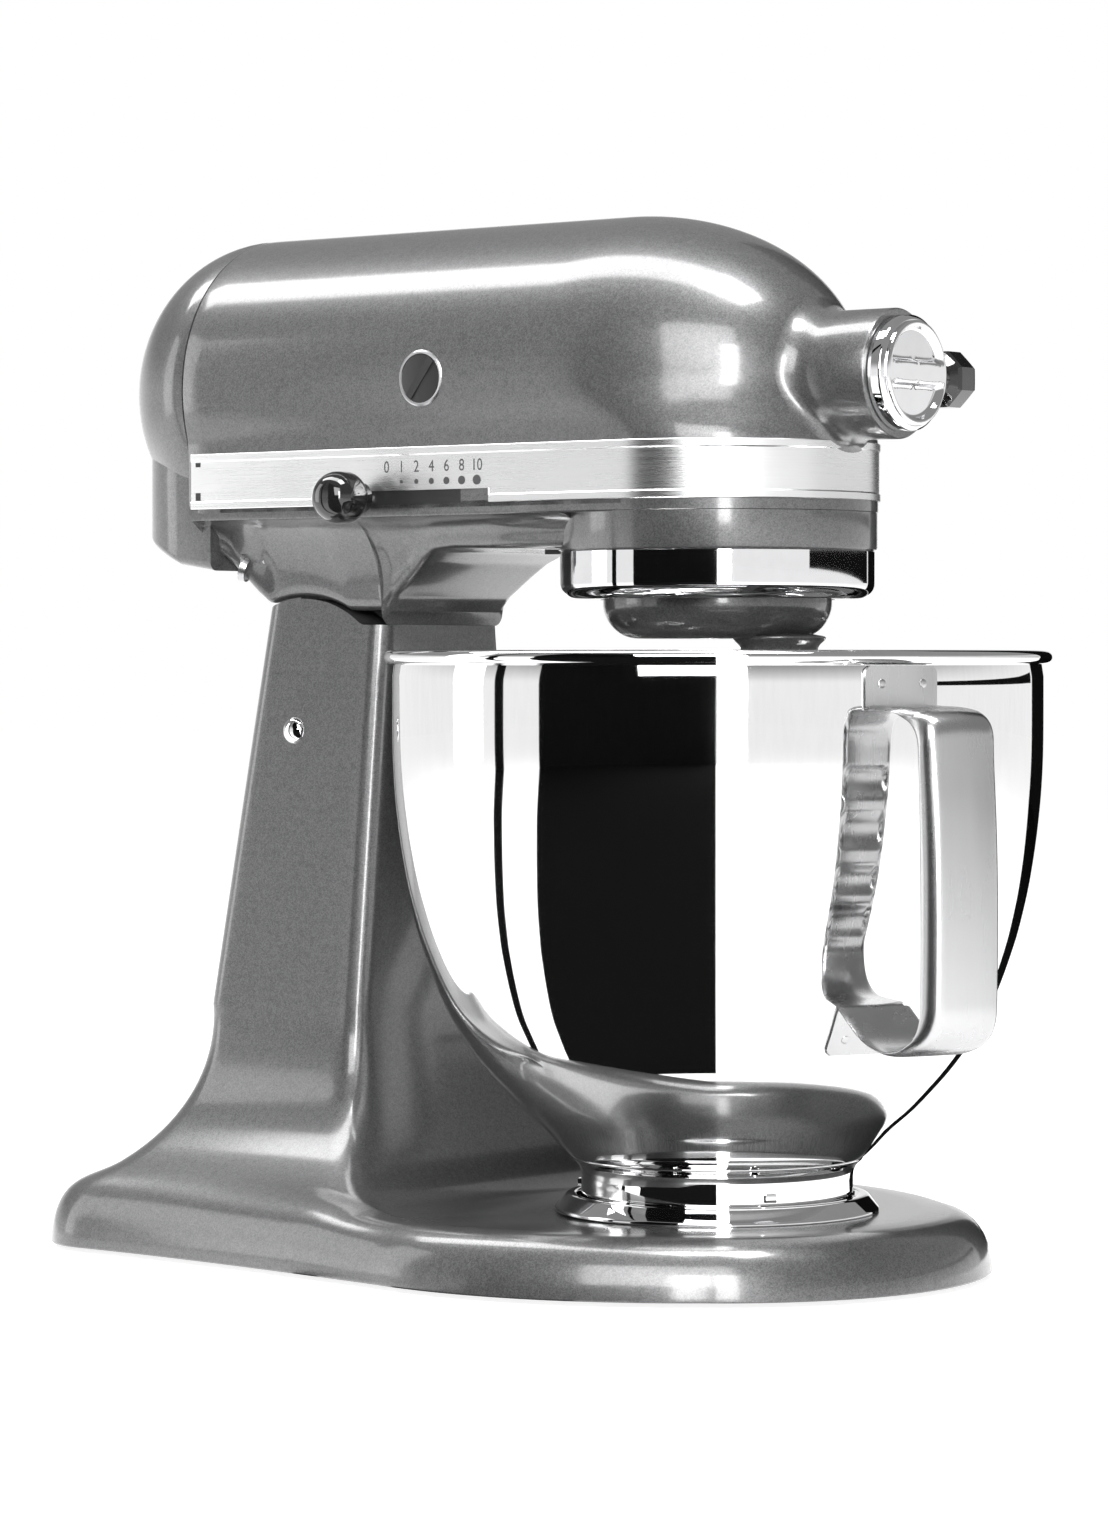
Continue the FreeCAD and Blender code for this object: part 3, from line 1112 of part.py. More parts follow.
# ---- Speed lever ----

def make_speed_lever():
    reach = "-(noseRadius + knobStandoff)"
    arm = padded("lever_arm", [
        ("leverX - 5", "-leverInner - 2"), ("leverX - leverThrow - 2.6", reach),
        ("leverX - leverThrow + 2.6", reach), ("leverX + 5", "-leverInner - 2")], "leverThick",
        at=(0, 0, "leverHeight"))
    eye = cylinder("lever_eye", "6", "leverThick", at=("leverX", "-leverInner", "leverHeight"))
    hole = cylinder("lever_hole", "3 + runningFit", "10", at=("leverX", "-leverInner", "leverHeight - 3"))
    node("speed_lever", cut("speed_lever", fused("lever_solid", arm, eye), hole))
    shoulder = "leverHeight - 0.3 - chinBottom - 4"
    post = turned("lever_post", [
        (0, 0), ("5", 0), ("5", shoulder), ("3", shoulder), ("3", shoulder + " + 5"), (0, shoulder + " + 5")],
        at=("leverX", "-leverInner", "chinBottom + 4"))
    node("lever_post", post)
    knob = turned("speed_knob", [
        (0, 0), ("4", 0), ("4", "1.6"), ("6", "1.9"), ("6", "4.5"), ("speedKnobRadius - 1", "5"),
        ("speedKnobRadius", "7"),
        ("speedKnobRadius", "speedKnobLength - 2"), ("speedKnobRadius - 4.5", "speedKnobLength + 4.6", "8"),
        (0, "speedKnobLength + 5")],
        at=("leverX - leverThrow", reach, "leverHeight + leverThick / 2"), along="-Y")
    node("speed_knob", knob)


make_stand()
make_clamp_plate()
make_hinge()
make_head_lock()
make_bowl()
make_handle()
make_head_housing()
make_trim_band()
make_lower_gearcase()
make_rear_cover()
make_gear_train()
make_planetary()
make_beater()
make_motor()
make_hub()
make_speed_lever()

doc.recompute()
for thing in doc.Objects:
    if "Invalid" in thing.State or "Error" in thing.State:
        raise RuntimeError("%s did not rebuild" % thing.Name)
for thing in nodes:
    if thing.Shape.isNull() or not thing.Shape.isValid():
        raise RuntimeError("%s is not a valid shape" % thing.Label)
os.makedirs("parts", exist_ok=True)
for thing in nodes:
    thing.Shape.exportStep("parts/%s.step" % thing.Label)
print(len(nodes), "nodes written")
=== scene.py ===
import math
import bpy
import bmesh
from mathutils import Matrix, Vector


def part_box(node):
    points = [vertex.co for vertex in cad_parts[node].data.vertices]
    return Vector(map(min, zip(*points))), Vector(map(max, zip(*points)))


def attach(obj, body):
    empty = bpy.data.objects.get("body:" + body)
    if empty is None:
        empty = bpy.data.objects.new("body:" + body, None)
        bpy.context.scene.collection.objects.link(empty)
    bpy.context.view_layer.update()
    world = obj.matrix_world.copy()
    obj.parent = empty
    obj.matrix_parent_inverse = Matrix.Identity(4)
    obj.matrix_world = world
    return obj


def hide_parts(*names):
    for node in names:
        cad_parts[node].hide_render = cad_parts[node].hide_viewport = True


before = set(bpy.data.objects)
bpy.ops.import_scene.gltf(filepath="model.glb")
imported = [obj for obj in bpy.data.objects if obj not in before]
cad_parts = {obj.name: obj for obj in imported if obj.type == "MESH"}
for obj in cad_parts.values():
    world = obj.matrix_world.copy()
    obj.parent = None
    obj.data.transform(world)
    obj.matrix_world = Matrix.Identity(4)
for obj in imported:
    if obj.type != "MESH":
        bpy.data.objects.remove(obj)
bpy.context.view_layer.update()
mm = 0.001


# lowest and highest corner of a CAD node in millimetres
def spanOf(node):
    low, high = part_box(node)
    return low / mm, high / mm


# heights and places that every piece shares, read from the imported frame except the pedestal's front and
# shelf, which are given numbers
bandLow, bandHigh = spanOf("trim_band")
coverLow, coverHigh = spanOf("rear_cover")
dripLow, dripHigh = spanOf("drip_ring")
planetLow, planetHigh = spanOf("planetary_hub")
bowlHigh = spanOf("bowl_shell")[1]
footLow = spanOf("bowl_foot")[0]
baseLow = spanOf("base_casting")[0]
plateLow, plateHigh = spanOf("clamp_plate")
pinLow, pinHigh = spanOf("hinge_pin")
hubLow, hubHigh = spanOf("hub_ring")
capHigh = spanOf("hub_cap")[1]
shaftLow, shaftHigh = spanOf("agitator_shaft")

hingeX = (pinLow.x + pinHigh.x) / 2
hingeZ = (pinLow.z + pinHigh.z) / 2
hubZ = (hubLow.z + hubHigh.z) / 2
seamX = coverHigh.x
agitatorX = (shaftLow.x + shaftHigh.x) / 2
pedestalFront, pedestalShelf = -118.0, 217.6

head = {"radius": 55.3, "axisZ": 299.6, "noseStart": -31.3, "noseReach": 82.3,
        "seamHalf": 52.3, "noseHalf": 53.6, "lipLow": 254.0, "chinLow": 241.8}

# mesh helpers, all in millimetres


def lerp(a, b, t):
    return a + (b - a) * t


def smooth(t):
    t = min(max(t, 0.0), 1.0)
    return t * t * (3 - 2 * t)


# value at x on a line through (x, value) pairs
def between(x, table):
    if x <= table[0][0]:
        return table[0][1]
    for (x0, v0), (x1, v1) in zip(table, table[1:]):
        if x <= x1:
            return lerp(v0, v1, (x - x0) / (x1 - x0))
    return table[-1][1]


# round the corners of an outline; a point may carry its own radius as a third value
def softened(points, radius, steps=5, closed=True):
    result = []
    count = len(points)
    for i, point in enumerate(points):
        here = Vector(point[:2])
        if not closed and i in (0, count - 1):
            result.append(here)
            continue
        before = Vector(points[i - 1][:2]) - here
        after = Vector(points[(i + 1) % count][:2]) - here
        reach = point[2] if len(point) > 2 else radius
        reach = min(reach, before.length * 0.49, after.length * 0.49)
        start = here + before.normalized() * reach
        end = here + after.normalized() * reach
        for k in range(steps + 1):
            t = k / steps
            result.append(start * (1 - t) ** 2 + here * 2 * t * (1 - t) + end * t * t)
    return result


# quads between rings of points; around joins each ring to itself, closed joins last to first
def skin(rings, around=True, caps=(True, True), closed=False):
    size = len(rings[0])
    verts = [Vector(p) for ring in rings for p in ring]
    faces = []
    for i in range(len(rings) if closed else len(rings) - 1):
        a = i * size
        b = ((i + 1) % len(rings)) * size
        for j in range(size if around else size - 1):
            k = (j + 1) % size
            faces.append((a + j, a + k, b + k, b + j))
    if around and not closed:
        if caps[0]:
            faces.append(tuple(reversed(range(size))))
        if caps[1]:
            last = (len(rings) - 1) * size
            faces.append(tuple(range(last, last + size)))
    return verts, faces


axisTurn = {"Z": Matrix.Identity(3), "X": Matrix(((0, 0, 1), (0, 1, 0), (-1, 0, 0))),
        "Y": Matrix(((1, 0, 0), (0, 0, 1), (0, -1, 0))), "-Y": Matrix(((1, 0, 0), (0, 0, -1), (0, 1, 0)))}


# turn (radius, height) points about an axis; an open profile starts and ends on the axis
def lathe(profile, at=(0, 0, 0), along="Z", segments=96, closed=False):
    rings = []
    for radius, height in profile:
        rings.append([axisTurn[along] @ Vector((max(radius, 0.0) * math.cos(a),
                                                max(radius, 0.0) * math.sin(a), height))
                      + Vector(at) for a in (2 * math.pi * k / segments for k in range(segments))])
    return skin(rings, closed=closed, caps=(False, False))


# a flat outline raised from low to high, with a small chamfered edge if asked for
def extruded(outline, low, high, edge=0.0):
    middle = Vector((sum(p[0] for p in outline), sum(p[1] for p in outline))) / len(outline)

    def ring(z, inset):
        points = []
        for p in outline:
            flat = Vector(p[:2])
            away = flat - middle
            flat = flat - away.normalized() * inset
            points.append(Vector((flat.x, flat.y, z)))
        return points
    if edge <= 0:
        return skin([ring(low, 0), ring(high, 0)])
    return skin([ring(low, edge), ring(low + edge, 0), ring(high - edge, 0), ring(high, edge)])


# a rectangular block between two corners
def slab(low, high):
    x0, y0, z0 = low
    x1, y1, z1 = high
    return extruded([(x0, y0), (x1, y0), (x1, y1), (x0, y1)], z0, z1)


def moved(shell, matrix):
    return [matrix @ v for v in shell[0]], shell[1]


# one finished piece from closed shells: merged, wound outwards, smooth between sharp edges
def makePiece(name, shells, material, body, replaced=(), sharp=32):
    work = bmesh.new()
    for verts, faces in shells:
        part = bmesh.new()
        made = [part.verts.new(Vector(v) * mm) for v in verts]
        for face in faces:
            try:
                part.faces.new([made[i] for i in face])
            except ValueError:
                continue
        bmesh.ops.remove_doubles(part, verts=part.verts, dist=2e-6)
        bmesh.ops.dissolve_degenerate(part, edges=part.edges, dist=1e-6)
        bmesh.ops.recalc_face_normals(part, faces=part.faces)
        if part.calc_volume(signed=True) < 0:
            bmesh.ops.reverse_faces(part, faces=part.faces)
        scrap = bpy.data.meshes.new("scrap")
        part.to_mesh(scrap)
        work.from_mesh(scrap)
        bpy.data.meshes.remove(scrap)
        part.free()
    mesh = bpy.data.meshes.new(name)
    work.to_mesh(mesh)
    work.free()
    mesh.shade_smooth()
    mesh.set_sharp_from_angle(angle=math.radians(sharp))
    mesh.materials.append(material)
    piece = bpy.data.objects.new(name, mesh)
    bpy.context.scene.collection.objects.link(piece)
    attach(piece, body)
    if replaced:
        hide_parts(*replaced)
    return piece


# take closed shells out of a finished piece
def cutAway(piece, shells, sharp=38):
    for verts, faces in shells:
        mesh = bpy.data.meshes.new("cutter")
        mesh.from_pydata([Vector(v) * mm for v in verts], [], faces)
        cutter = bpy.data.objects.new("cutter", mesh)
        bpy.context.scene.collection.objects.link(cutter)
        opening = piece.modifiers.new("opening", "BOOLEAN")
        opening.object = cutter
        opening.operation = "DIFFERENCE"
        opening.solver = "EXACT"
        bpy.context.view_layer.update()
        solid = bpy.data.meshes.new_from_object(piece.evaluated_get(bpy.context.evaluated_depsgraph_get()))
        piece.modifiers.clear()
        before = piece.data
        piece.data = solid
        bpy.data.meshes.remove(before)
        bpy.data.objects.remove(cutter)
        bpy.data.meshes.remove(mesh)
    piece.data.name = piece.name
    piece.data.shade_smooth()
    piece.data.set_sharp_from_angle(angle=math.radians(sharp))


def addNode(tree, kind, values=None, **settings):
    node = tree.nodes.new(kind)
    for label, value in settings.items():
        setattr(node, label, value)
    for socket, value in (values or {}).items():
        node.inputs[socket].default_value = value
    return node


# join nodes, each route being (from node, its output, to node, its input)
def wire(tree, *routes):
    for source, output, target, socket in routes:
        tree.links.new(source.outputs[output], target.inputs[socket])


# a Geometry Nodes tree with one geometry in and out and named size inputs
def newShapeTree(name, values):
    tree = bpy.data.node_groups.new(name, "GeometryNodeTree")
    tree.interface.new_socket("Geometry", in_out="INPUT", socket_type="NodeSocketGeometry")
    tree.interface.new_socket("Geometry", in_out="OUTPUT", socket_type="NodeSocketGeometry")
    for label, value in values:
        tree.interface.new_socket(label, in_out="INPUT", socket_type="NodeSocketFloat").default_value = value
    return tree, tree.nodes.new("NodeGroupInput"), tree.nodes.new("NodeGroupOutput")


# copies of one shape on the points, turned to each point's "facing", realised and given their finish
def scatterOnPoints(tree, given, result, shape, material):
    facing = addNode(tree, "GeometryNodeInputNamedAttribute", {"Name": "facing"}, data_type="FLOAT_VECTOR")
    turn = addNode(tree, "FunctionNodeAlignRotationToVector")
    size = addNode(tree, "GeometryNodeInputNamedAttribute", {"Name": "size"}, data_type="FLOAT")
    copies = addNode(tree, "GeometryNodeInstanceOnPoints")
    real = addNode(tree, "GeometryNodeRealizeInstances")
    finish = addNode(tree, "GeometryNodeSetMaterial", {"Material": material})
    wire(tree, (given, "Geometry", copies, "Points"), (shape, 0, copies, "Instance"),
         (facing, "Attribute", turn, "Vector"), (turn, "Rotation", copies, "Rotation"),
         (size, "Attribute", copies, "Scale"), (copies, "Instances", real, "Geometry"),
         (real, "Geometry", finish, "Geometry"), (finish, "Geometry", result, "Geometry"))


# run a scatter tree over points and keep the result as a plain mesh
def makeScattered(name, tree, places, facings, values, body, sizes=None):
    points = bpy.data.meshes.new(name + "Points")
    points.from_pydata(places, [], [])
    points.attributes.new("facing", "FLOAT_VECTOR", "POINT")
    points.attributes.new("size", "FLOAT", "POINT")
    for index, direction in enumerate(facings):
        points.attributes["facing"].data[index].vector = direction
        points.attributes["size"].data[index].value = sizes[index] if sizes else 1.0
    piece = bpy.data.objects.new(name, points)
    bpy.context.scene.collection.objects.link(piece)
    scatter = piece.modifiers.new("scatter", "NODES")
    scatter.node_group = tree
    for item in tree.interface.items_tree:
        if item.item_type == "SOCKET" and item.in_out == "INPUT" and item.name in values:
            scatter[item.identifier] = values[item.name]
    bpy.context.view_layer.update()
    solid = bpy.data.meshes.new_from_object(piece.evaluated_get(bpy.context.evaluated_depsgraph_get()))
    piece.modifiers.clear()
    piece.data = solid
    solid.name = name
    bpy.data.meshes.remove(points)
    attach(piece, body)
    return piece


# node groups


def newGroup(name, inputs, outputs):
    group = bpy.data.node_groups.new(name, "ShaderNodeTree")
    for label, kind, value in inputs:
        socket = group.interface.new_socket(label, in_out="INPUT", socket_type="NodeSocket" + kind)
        socket.default_value = value
    for label, kind in outputs:
        group.interface.new_socket(label, in_out="OUTPUT", socket_type="NodeSocket" + kind)
    return group, group.nodes.new("NodeGroupInput"), group.nodes.new("NodeGroupOutput")


# tiny flakes of varying brightness with a slightly tilted normal, as in metallic enamel
def makeFlakeGroup():
    flake = {"scale": 2600.0, "cloudScale": 420.0, "cellShare": 0.65, "cloudShare": 0.35,
             "bumpDepth": 0.00005}
    group, given, result = newGroup(
        "metalFlake",
        [("Dark", "Color", (0.1, 0.1, 0.1, 1)), ("Bright", "Color", (0.2, 0.2, 0.2, 1)),
         ("Flake Scale", "Float", flake["scale"]), ("Tilt", "Float", 0.1)],
        [("Color", "Color"), ("Normal", "Vector")])
    place = addNode(group, "ShaderNodeTexCoord")
    cells = addNode(group, "ShaderNodeTexVoronoi", feature="F1")
    cloud = addNode(group, "ShaderNodeTexNoise", {"Scale": flake["cloudScale"], "Detail": 3.0})
    grey = addNode(group, "ShaderNodeRGBToBW")
    cellPart = addNode(group, "ShaderNodeMath", {1: flake["cellShare"], 2: 0.0}, operation="MULTIPLY_ADD")
    both = addNode(group, "ShaderNodeMath", {1: flake["cloudShare"]}, operation="MULTIPLY_ADD")
    mix = addNode(group, "ShaderNodeMix", data_type="RGBA")
    bump = addNode(group, "ShaderNodeBump", {"Distance": flake["bumpDepth"]})
    wire(group, (place, "Object", cells, "Vector"), (place, "Object", cloud, "Vector"),
         (given, "Flake Scale", cells, "Scale"), (cells, "Color", grey, 0), (grey, 0, cellPart, 0),
         (cloud, "Fac", both, 0), (cellPart, 0, both, 2), (both, 0, mix, 0), (given, "Dark", mix, 6),
         (given, "Bright", mix, 7), (given, "Tilt", bump, "Strength"), (grey, 0, bump, "Height"),
         (mix, 2, result, "Color"), (bump, "Normal", result, "Normal"))
    return group


# stretched noise for brushed, satin and machined metal, with a soft variation from handling
def makeGrainGroup():
    grainSizes = {"scale": 600.0, "wipeScale": 22.0, "bumpDepth": 0.00008}
    group, given, result = newGroup(
        "metalGrain",
        [("Stretch", "Vector", (1.0, 1.0, 1.0)), ("Grain Scale", "Float", grainSizes["scale"]),
         ("Rough Low", "Float", 0.1), ("Rough High", "Float", 0.2), ("Depth", "Float", 0.05)],
        [("Roughness", "Float"), ("Normal", "Vector"), ("Mask", "Float")])
    place = addNode(group, "ShaderNodeTexCoord")
    scale = addNode(group, "ShaderNodeVectorMath", operation="MULTIPLY")
    grain = addNode(group, "ShaderNodeTexNoise", {"Detail": 4.0})
    wipe = addNode(group, "ShaderNodeTexNoise", {"Scale": grainSizes["wipeScale"], "Detail": 3.0})
    both = addNode(group, "ShaderNodeMath", operation="ADD")
    half = addNode(group, "ShaderNodeMath", {1: 0.5}, operation="MULTIPLY")
    rough = addNode(group, "ShaderNodeMapRange")
    bump = addNode(group, "ShaderNodeBump", {"Distance": grainSizes["bumpDepth"]})
    wire(group, (place, "Object", scale, 0), (given, "Stretch", scale, 1), (scale, 0, grain, "Vector"),
         (given, "Grain Scale", grain, "Scale"), (place, "Object", wipe, "Vector"), (grain, "Fac", both, 0),
         (wipe, "Fac", both, 1), (both, 0, half, 0), (half, 0, rough, "Value"),
         (given, "Rough Low", rough, "To Min"), (given, "Rough High", rough, "To Max"),
         (given, "Depth", bump, "Strength"), (grain, "Fac", bump, "Height"),
         (rough, "Result", result, "Roughness"), (bump, "Normal", result, "Normal"),
         (half, 0, result, "Mask"))
    return group


flakeGroup = makeFlakeGroup()
grainGroup = makeGrainGroup()
print("node groups ready")

# materials


def newMaterial(name, group, groupValues, shaderValues):
    material = bpy.data.materials.new(name)
    material.use_nodes = True
    tree = material.node_tree
    effect = addNode(tree, "ShaderNodeGroup", node_tree=group)
    for label, value in groupValues.items():
        effect.inputs[label].default_value = value
    shader = tree.nodes["Principled BSDF"]
    for label, value in shaderValues.items():
        shader.inputs[label].default_value = value
    return material, tree, effect, shader


def makePaint():
    enamel = {"Dark": (0.042, 0.042, 0.043, 1), "Bright": (0.165, 0.165, 0.167, 1), "Flake Scale": 2600.0,
              "Tilt": 0.22}
    finish = {"Metallic": 0.55, "Roughness": 0.36, "Coat Weight": 1.0, "Coat Roughness": 0.12,
              "Coat IOR": 1.5}
    material, tree, flake, shader = newMaterial("greyEnamel", flakeGroup, enamel, finish)
    wire(tree, (flake, "Color", shader, "Base Color"), (flake, "Normal", shader, "Normal"))
    return material


def makeMetal(name, colour, roughness, stretch=(1, 1, 1), scale=600.0, depth=0.04, metallic=1.0):
    values = {"Stretch": stretch, "Grain Scale": scale, "Rough Low": roughness[0], "Rough High": roughness[1],
              "Depth": depth}
    material, tree, grain, shader = newMaterial(name, grainGroup, values, {"Metallic": metallic})
    darker, lighter = tuple(c * 0.9 for c in colour), tuple(min(c * 1.08, 1.0) for c in colour)
    tint = addNode(tree, "ShaderNodeMix", data_type="RGBA")
    tint.inputs[6].default_value = darker + (1,)
    tint.inputs[7].default_value = lighter + (1,)
    wire(tree, (grain, "Mask", tint, 0), (tint, 2, shader, "Base Color"),
         (grain, "Roughness", shader, "Roughness"), (grain, "Normal", shader, "Normal"))
    return material


def makePlastic(name, colour, roughness, coat=0.0, scale=900.0, depth=0.08):
    material = makeMetal(name, colour, roughness, scale=scale, depth=depth, metallic=0.0)
    material.node_tree.nodes["Principled BSDF"].inputs["Coat Weight"].default_value = coat
    return material


paint = makePaint()
chrome = makeMetal("brightChrome", (0.8, 0.8, 0.81), (0.015, 0.06), scale=200.0, depth=0.0)
mirrorSteel = makeMetal("mirrorSteel", (0.84, 0.84, 0.84), (0.012, 0.05), stretch=(1, 1, 0.15), scale=500.0,
                        depth=0.004)
handleSteel = makeMetal("handleSteel", (0.52, 0.52, 0.525), (0.2, 0.34), stretch=(1, 1, 0.03), scale=170.0,
                        depth=0.35)
brushedTrim = makeMetal("brushedTrim", (0.82, 0.82, 0.825), (0.2, 0.36), stretch=(0.03, 0.03, 1.6),
                        scale=1400.0, depth=0.1)
screwSteel = makeMetal("screwSteel", (0.55, 0.55, 0.56), (0.2, 0.4), scale=900.0)
gearSteel = makeMetal("gearSteel", (0.42, 0.42, 0.43), (0.25, 0.45), scale=700.0)
castAluminium = makeMetal("castAluminium", (0.55, 0.55, 0.56), (0.28, 0.5), scale=500.0, depth=0.2)
burnished = makeMetal("burnishedCasting", (0.36, 0.36, 0.365), (0.22, 0.36), stretch=(1, 1, 1), scale=900.0,
                      depth=0.06)
bronze = makeMetal("sinteredBronze", (0.55, 0.36, 0.17), (0.3, 0.5), scale=1500.0, depth=0.15)
copper = makeMetal("windingCopper", (0.62, 0.26, 0.12), (0.25, 0.45), stretch=(8, 1, 1), scale=900.0,
                   depth=0.3)
blackGloss = makePlastic("blackGloss", (0.008, 0.008, 0.008), (0.03, 0.1), coat=0.6, depth=0.01)
blackSatin = makePlastic("blackSatin", (0.014, 0.014, 0.014), (0.3, 0.48))
rubber = makePlastic("footRubber", (0.018, 0.018, 0.018), (0.6, 0.85), scale=1500.0, depth=0.25)
dialInk = makePlastic("dialInk", (0.05, 0.05, 0.052), (0.4, 0.6))
print("materials ready")

carried = {
    "rubber_feet": rubber, "clamp_screws": screwSteel, "pin_set_screw": screwSteel,
    "height_screw": screwSteel, "cord_gland": rubber, "lock_slide": screwSteel, "lock_knob": blackGloss,
    "hinge_bushes": bronze,
    "cover_screws": screwSteel, "drip_clip": blackSatin, "ring_gear": gearSteel, "agitator_pinion": gearSteel,
    "centre_gear": gearSteel, "centre_shaft": gearSteel, "centre_bearing": bronze, "drive_pinion": gearSteel,
    "worm_wheel": bronze, "wheel_bracket": castAluminium, "agitator_shaft": screwSteel,
    "shaft_pin": screwSteel, "motor_field": gearSteel, "field_coils": copper, "rotor_shaft": gearSteel,
    "armature_core": gearSteel,
    "commutator": copper, "cooling_fan": blackSatin, "motor_bracket": castAluminium, "front_bearing": bronze,
    "brush_holders": bronze, "carbon_brushes": blackSatin, "speed_board": blackSatin, "hub_bevel": gearSteel,
    "hub_bush": bronze, "hub_socket": gearSteel, "attachment_screw": screwSteel, "lever_post": screwSteel,
    "flat_beater": burnished, "brush_caps": blackSatin, "attachment_knob": blackGloss,
}
for nodeName, material in carried.items():
    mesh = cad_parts[nodeName].data
    mesh.materials.clear()
    mesh.materials.append(material)

# head shell


def sideHalf(x):
    return lerp(head["seamHalf"], head["noseHalf"], (x - seamX) / (0 - seamX))


# one level of the upper head, from the near seam round the nose to the far seam
def headRow(z, alongSteps=40, noseSteps=56):
    rise = (z - head["axisZ"]) / head["radius"]
    fall = math.sqrt(max(1 - rise * rise, 0.0))
    barrel = head["radius"] * fall if z > head["axisZ"] else None
    lift = smooth((z - bandHigh.z) / (head["axisZ"] - bandHigh.z))
    noseX = lerp(0.0, head["noseStart"], lift)
    reach = lerp(head["noseHalf"], head["noseReach"] * fall, lift)

    def halfAt(x):
        if barrel is not None:
            return barrel
        upright = sideHalf(x)
        below = head["radius"] * fall if z > bandHigh.z - 4 else 0.0
        return 0.5 * (upright + below + math.sqrt((upright - below) ** 2 + 1.0)) if below > 0 else upright
    row = []
    for k in range(alongSteps):
        x = lerp(seamX + 0.15, noseX, k / alongSteps)
        edge = 0.6 * (1 - smooth((x - seamX) / 1.2)) if k < 2 else 0.0
        row.append(Vector((x, -max(halfAt(x) - edge, 0.0), z)))
    half = halfAt(noseX)
    for k in range(noseSteps + 1):
        turn = -math.pi / 2 + math.pi * k / noseSteps
        row.append(Vector((noseX + reach * math.cos(turn), half * math.sin(turn), z)))
    for point in reversed(row[:alongSteps]):
        row.append(Vector((point.x, -point.y, z)))
    return row


# the attachment boss with a soft fillet where it grows out of the nose
def hubCollar(radius, fillet, front, segments=96):
    def noseAt(y, z):
        rise = (z - head["axisZ"]) / head["radius"]
        lift = smooth((z - bandHigh.z) / (head["axisZ"] - bandHigh.z))
        fall = math.sqrt(max(1 - rise * rise, 0.0))
        reach = lerp(head["noseHalf"], head["noseReach"] * fall, lift)
        half = lerp(head["noseHalf"], head["radius"] * fall, lift)
        start = lerp(0.0, head["noseStart"], lift)
        return start + reach * math.sqrt(max(1 - (y / half) ** 2, 0.0))

    def point(turn, distance, x=None):
        y = distance * math.cos(turn)
        z = hubZ + distance * math.sin(turn)
        return Vector((noseAt(y, z) if x is None else x, y, z))
    rings = []
    turns = [2 * math.pi * k / segments for k in range(segments)]
    rings.append([point(t, radius * 0.5, 20.0) for t in turns])
    rings.append([point(t, radius + fillet, noseAt(0, hubZ) - 22.0) for t in turns])
    steps = 9
    for k in range(steps + 1):
        t = k / steps
        ring = []
        for turn in turns:
            outer = point(turn, radius + fillet)
            corner = point(turn, radius)
            outer.x -= 0.04
            end = Vector((corner.x + fillet * 1.1, corner.y, corner.z))
            ring.append(outer * (1 - t) ** 2 + corner * 2 * t * (1 - t) + end * t * t)
        rings.append(ring)
    rings.append([point(t, radius, front - 0.6) for t in turns])
    rings.append([point(t, radius - 0.5, front) for t in turns])
    rings.append([point(t, radius - 4.0, front) for t in turns])
    return skin(rings)


def makeHeadShell():
    collar = {"radius": 21.3, "fillet": 6.5}
    levels = [bandLow.z - 1.5, bandLow.z + 6, bandHigh.z - 1.0, bandHigh.z + 0.3]
    levels += [lerp(bandHigh.z + 0.3, head["axisZ"], k / 16) for k in range(1, 17)]
    levels += [head["axisZ"] + head["radius"] * math.sin(math.pi / 2 * k / 34) for k in range(1, 35)]
    levels[-1] = head["axisZ"] + head["radius"] - 0.001
    shell = skin([headRow(z) for z in levels], around=False)
    verts, faces = shell
    size = len(verts) // len(levels)
    faces.append(tuple(range(size)))
    seam = [i * size for i in range(len(levels))]
    seam += [i * size + size - 1 for i in reversed(range(len(levels)))]
    faces.append(tuple(seam))
    front = hubLow.x
    makePiece("headShell", [(verts, faces), hubCollar(collar["radius"], collar["fillet"], front)], paint,
              "head", ["head_housing"], sharp=40)


makeHeadShell()
print("head shell made")

# rear cover


